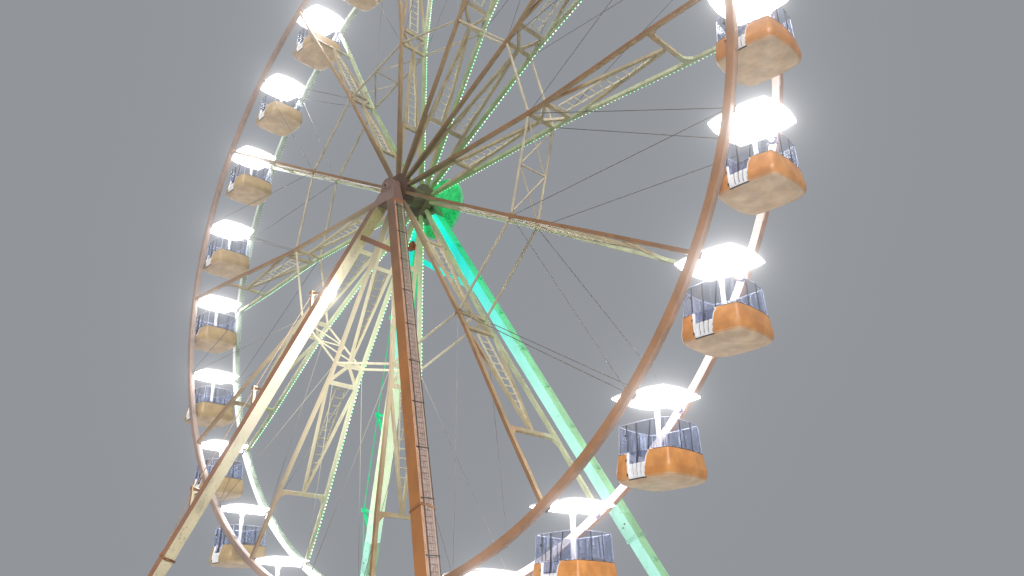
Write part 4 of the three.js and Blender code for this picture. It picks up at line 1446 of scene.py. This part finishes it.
def makeHeadDetails():
    face = 1.06
    # how far each ring of points stands out from the head's face, and its radius
    cap = ((-0.002, 0.0), (-0.002, 0.24), (0.012, 0.24), (0.018, 0.232), (0.02, 0.11), (0.045, 0.1),
           (0.05, 0.092), (0.05, 0.0))
    plug = ((0.049, 0.0), (0.049, 0.05), (0.054, 0.048), (0.054, 0.0))
    for name, profile, sides, finish, slot in (("bearing_cap", cap, 48, "head", "hub_steel"),
                                               ("bearing_plug", plug, 24, "rubber", "dark_rubber")):
        turned = latheAlongY(name, [(-face - out, radius) for out, radius in profile], sides, axleCentre)
        dressPiece(name, turned, finish)
    bolts = boltCircle(8, 0.165, -face - 0.018, 0.5, 0.016, 0.018)
    for side in (-1, 1):
        bolts += boltCircle(12, 0.272, side * face, 0, 0.013, 0.015)
    dressPiece("bearing_bolts", bolts, "bolt", sharpAngle=30)


discLooks = {"radius": 1.17, "low": 1.46, "high": 1.54, "stub": 0.24, "stubFrom": 1.061, "lampSize": 0.42,
             "firstRow": 0.34, "rows": 9, "rowPitch": 0.09, "lampPitch": 0.115, "rowTurn": 0.37}


def makeDisc():
    low, high, radius, stub, root = (discLooks[key] for key in ("low", "high", "radius", "stub", "stubFrom"))
    profile = [(root, 0.0), (root, stub), (low - 0.03, stub), (low - 0.012, stub + 0.02), (low, stub + 0.05),
               (low, radius - 0.05), (low + 0.004, radius - 0.045), (high - 0.004, radius - 0.045),
               (high, radius - 0.05), (high, 0.0)]
    body = latheAlongY("disc", profile, 96, axleCentre, 30)
    dressPiece("light_disc_panel", body, "disc", replaces=("light_disc",))
    rim = latheAlongY("rim", [(low - 0.008, radius - 0.028), (low - 0.008, radius - 0.004), (low, radius),
                              (high, radius), (high + 0.008, radius - 0.004), (high + 0.008, radius - 0.028),
                              (low - 0.008, radius - 0.028)], 96, axleCentre, 30)
    dressPiece("light_disc_rim", rim, "rim")
    lamps = []
    shrink = Matrix.Scale(discLooks["lampSize"], 4)
    for facing, y in ((-1, low), (1, high)):
        for row in range(discLooks["rows"]):
            out = discLooks["firstRow"] + row * discLooks["rowPitch"]
            cap = lampCap(facing)
            cap.transform(Matrix.Translation((out, y - facing * 0.003, 0)) @ shrink)
            count = round(tau * out / discLooks["lampPitch"])
            lamps.append(aroundHub("discRow", cap, "discLamp", count, row * discLooks["rowTurn"]))
    dressPiece("light_disc_lamps", lamps, "discLamp")


def makeBoxAndFloodlight():
    box = boxMesh("redBox", (-0.93, 0.71, hubCentre.z - 1.64), (-0.63, 0.9, hubCentre.z - 1.34), 0.012)
    dressPiece("control_box", box, "red")
    face = legPoint("front", -1, legLooks["floodDrop"]) + Vector((0.27, -0.05, -0.05))
    turn = Matrix.Translation(face) @ Matrix.Rotation(math.radians(-28), 4, "Y")
    body = [boxMesh("flood", (-0.2, -0.13, -0.16), (0.2, 0.13, 0.16), 0.02)]
    body += [boxMesh("fin", (x - 0.006, -0.12, 0.15), (x + 0.006, 0.12, 0.2))
             for x in (-0.15, -0.1, -0.05, 0.0, 0.05, 0.1, 0.15)]
    body += [boxMesh("arm", (-0.24, -0.02, -0.03), (-0.2, 0.02, 0.03), 0.004),
             boxMesh("bow", (-0.3, -0.16, -0.03), (0.08, -0.14, 0.03), 0.004),
             boxMesh("bow", (-0.3, 0.14, -0.03), (0.08, 0.16, 0.03), 0.004)]
    glass = [boxMesh("under", (-0.18, -0.11, -0.166), (0.18, 0.11, -0.158), 0.002),
             boxMesh("front", (-0.18, -0.136, -0.14), (0.18, -0.128, 0.12), 0.002),
             boxMesh("side", (0.196, -0.11, -0.14), (0.206, 0.11, 0.14), 0.002)]
    for name, parts, finish, slot in (("floodlight", body, "galvanised", "galvanised"),
                                      ("floodlight_glass", glass, "flood", "lamp_lens")):
        mesh = joinMeshes(name, parts)
        mesh.transform(turn)
        dressPiece(name, mesh, finish)


# Deck, steps, railings and base frame

groundLooks = {
    "plates": (6, 6), "plateGap": 0.012, "plateThick": 0.004, "balusterPitch": 0.125, "baluster": 0.009,
    "kick": 0.1, "packPitch": 2.1, "deckTop": 0.95, "stairHalf": 1.4, "stairBack": -6.005, "going": 0.3,
    "treads": 4, "joists": 9,
    "railings": (((-4.44, 1.5), (-4.44, 2.24)), ((-4.44, 2.24), (4.44, 2.24)), ((4.44, 2.24), (4.44, 1.5)),
                 ((-4.44, -1.7), (-4.44, -5.94)), ((-4.44, -5.94), (-1.37, -5.94)),
                 ((4.44, -1.7), (4.44, -5.94)), ((4.44, -5.94), (1.37, -5.94))),
}


def makeDeck():
    low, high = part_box("deck")
    columns, rows = groundLooks["plates"]
    wide = (high.x - low.x) / columns
    long = (high.y - low.y) / rows
    gap = groundLooks["plateGap"] / 2
    plate = boxMesh("plate", (low.x + gap, low.y + gap, high.z - 0.001),
                    (low.x + wide - gap, low.y + long - gap, high.z + groundLooks["plateThick"]), 0.0015)
    lines = [alongLine("plateRow", plate, "deckPlate", (0, row * long, 0),
                       (wide * (columns - 1), row * long, 0), columns, 11 + row) for row in range(rows)]
    dressPiece("deck_plates", lines, "deckPlate", sharpAngle=30)
    joists = [boxMesh("joist", (x - 0.03, low.y + 0.05, 0.79), (x + 0.03, high.y - 0.05, 0.892), 0.004)
              for x in spread(low.x + 0.1, high.x - 0.1, groundLooks["joists"])]
    joists += [boxMesh("edgeBeam", (low.x + 0.02, y - 0.025, 0.77), (high.x - 0.02, y + 0.025, 0.892), 0.004)
               for y in (low.y + 0.03, high.y - 0.03)]
    dressPiece("deck_joists", joists, "galvanised")
    parts = []
    thin, top, kick = groundLooks["baluster"], groundLooks["deckTop"], groundLooks["kick"]
    carrier = boxMesh("baluster", (-thin, -thin, top + 0.08), (thin, thin, top + 0.54), 0.003)
    for number, (start, end) in enumerate(groundLooks["railings"]):
        a, b = Vector((*start, 0)), Vector((*end, 0))
        along = (b - a).normalized() * 0.03
        count = max(2, round((b - a).length / groundLooks["balusterPitch"]) - 1)
        step = (b - a) / (count + 1)
        parts.append(alongLine("balusters", carrier, "galvanised", a + step, b - step, count, number))
        for z, deep in ((top + 0.07, 0.02), (top + 0.005 + kick / 2, kick)):
            lift = Vector((0, 0, z))
            parts.append(barMesh("rail", a + lift + along, b + lift - along, 0.012, deep, upwards, 0.002))
    dressPiece("railing_infill", parts, "galvanised", sharpAngle=30)


def makeSteps():
    back, half, going, treads = (groundLooks[key] for key in ("stairBack", "stairHalf", "going", "treads"))
    top = groundLooks["deckTop"]
    parts = []
    rise = top / (treads + 1)
    for i in range(treads):
        far = back - going * (treads - i)
        z = rise * (i + 1)
        parts.append(boxMesh("nosing", (-half + 0.075, far - 0.006, z - 0.035),
                             (half - 0.075, far + 0.05, z + 0.005), 0.002))
        parts.append(boxMesh("tread", (-half + 0.1, far + 0.07, z - 0.001),
                             (half - 0.1, far + going - 0.02, z + 0.004), 0.0015))
    dressPiece("stair_nosings", parts, "deckPlate", sharpAngle=30)
    length = going * treads - 0.08
    bars = []
    for x in (-half + 0.035, half - 0.035):
        for over in (0.7, 0.3):
            low, high = Vector((x, back - length, rise + over)), Vector((x, back - 0.06, top + over))
            bars.append(barMesh("midRail", low, high, 0.03, 0.03, Vector((1, 0, 0)), 0.004))
    dressPiece("stair_mid_rails", bars, "galvanised", sharpAngle=30)


def makeBaseDetails():
    # packing under the beams, stiffeners on their sides and bolted end plates
    packs = []
    ribs = []
    bolts = []
    for name in ("front_base_beam", "rear_base_beam"):
        low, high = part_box(name)
        x = low.x + 0.5
        while x < high.x - 0.3:
            packs.append(boxMesh("packing", (x - 0.3, low.y - 0.06, 0.0),
                                 (x + 0.3, high.y + 0.06, 0.05), 0.006))
            for y, out in ((low.y, -1), (high.y, 1)):
                near, far = sorted((y, y + out * 0.05))
                ribs.append(boxMesh("rib", (x - 0.008, near, 0.02), (x + 0.008, far, 0.39)))
                bolts += [boltMesh((x + aside, y + out * 0.001, 0.2), (0, out, 0), 0.02, 0.025)
                          for aside in (0.16, -0.16)]
            x += groundLooks["packPitch"]
        for x, out in ((low.x, -1), (high.x, 1)):
            near, far = sorted((x, x + out * 0.012))
            ribs.append(boxMesh("endPlate", (near, low.y - 0.012, 0.004),
                                (far, high.y + 0.012, 0.404), 0.003))
    dressPiece("base_packing", packs, "timber", sharpAngle=30)
    dressPiece("base_stiffeners", ribs, "base", sharpAngle=30)
    dressPiece("base_bolts", bolts, "bolt", sharpAngle=30)


makeTilePanel()
makeLegSplices()
makeLegBrackets()
makeFeet()
makeHeadDetails()
makeDisc()
makeBoxAndFloodlight()
makeDeck()
makeSteps()
makeBaseDetails()
print("supports dressed")


# Floor

def makeFloor():
    material, tree = startMaterial("paleFloor")
    cloud = mapRange(tree, noise(tree, objectPlace(tree), 0.4, 3.0), 0.3, 0.7)
    tint = mixColours(tree, cloud, (0.62, 0.62, 0.61), (0.68, 0.68, 0.67))
    setShader(material, {"Base Color": tint, "Roughness": 0.8})
    mesh = meshFrom("floor", [(-60, -60, -0.01), (60, -60, -0.01), (60, 60, -0.01), (-60, 60, -0.01)],
                    [(0, 1, 2, 3)], outwards=False)
    floor = addObject("floor", mesh)
    mesh.materials.append(material)


makeFloor()
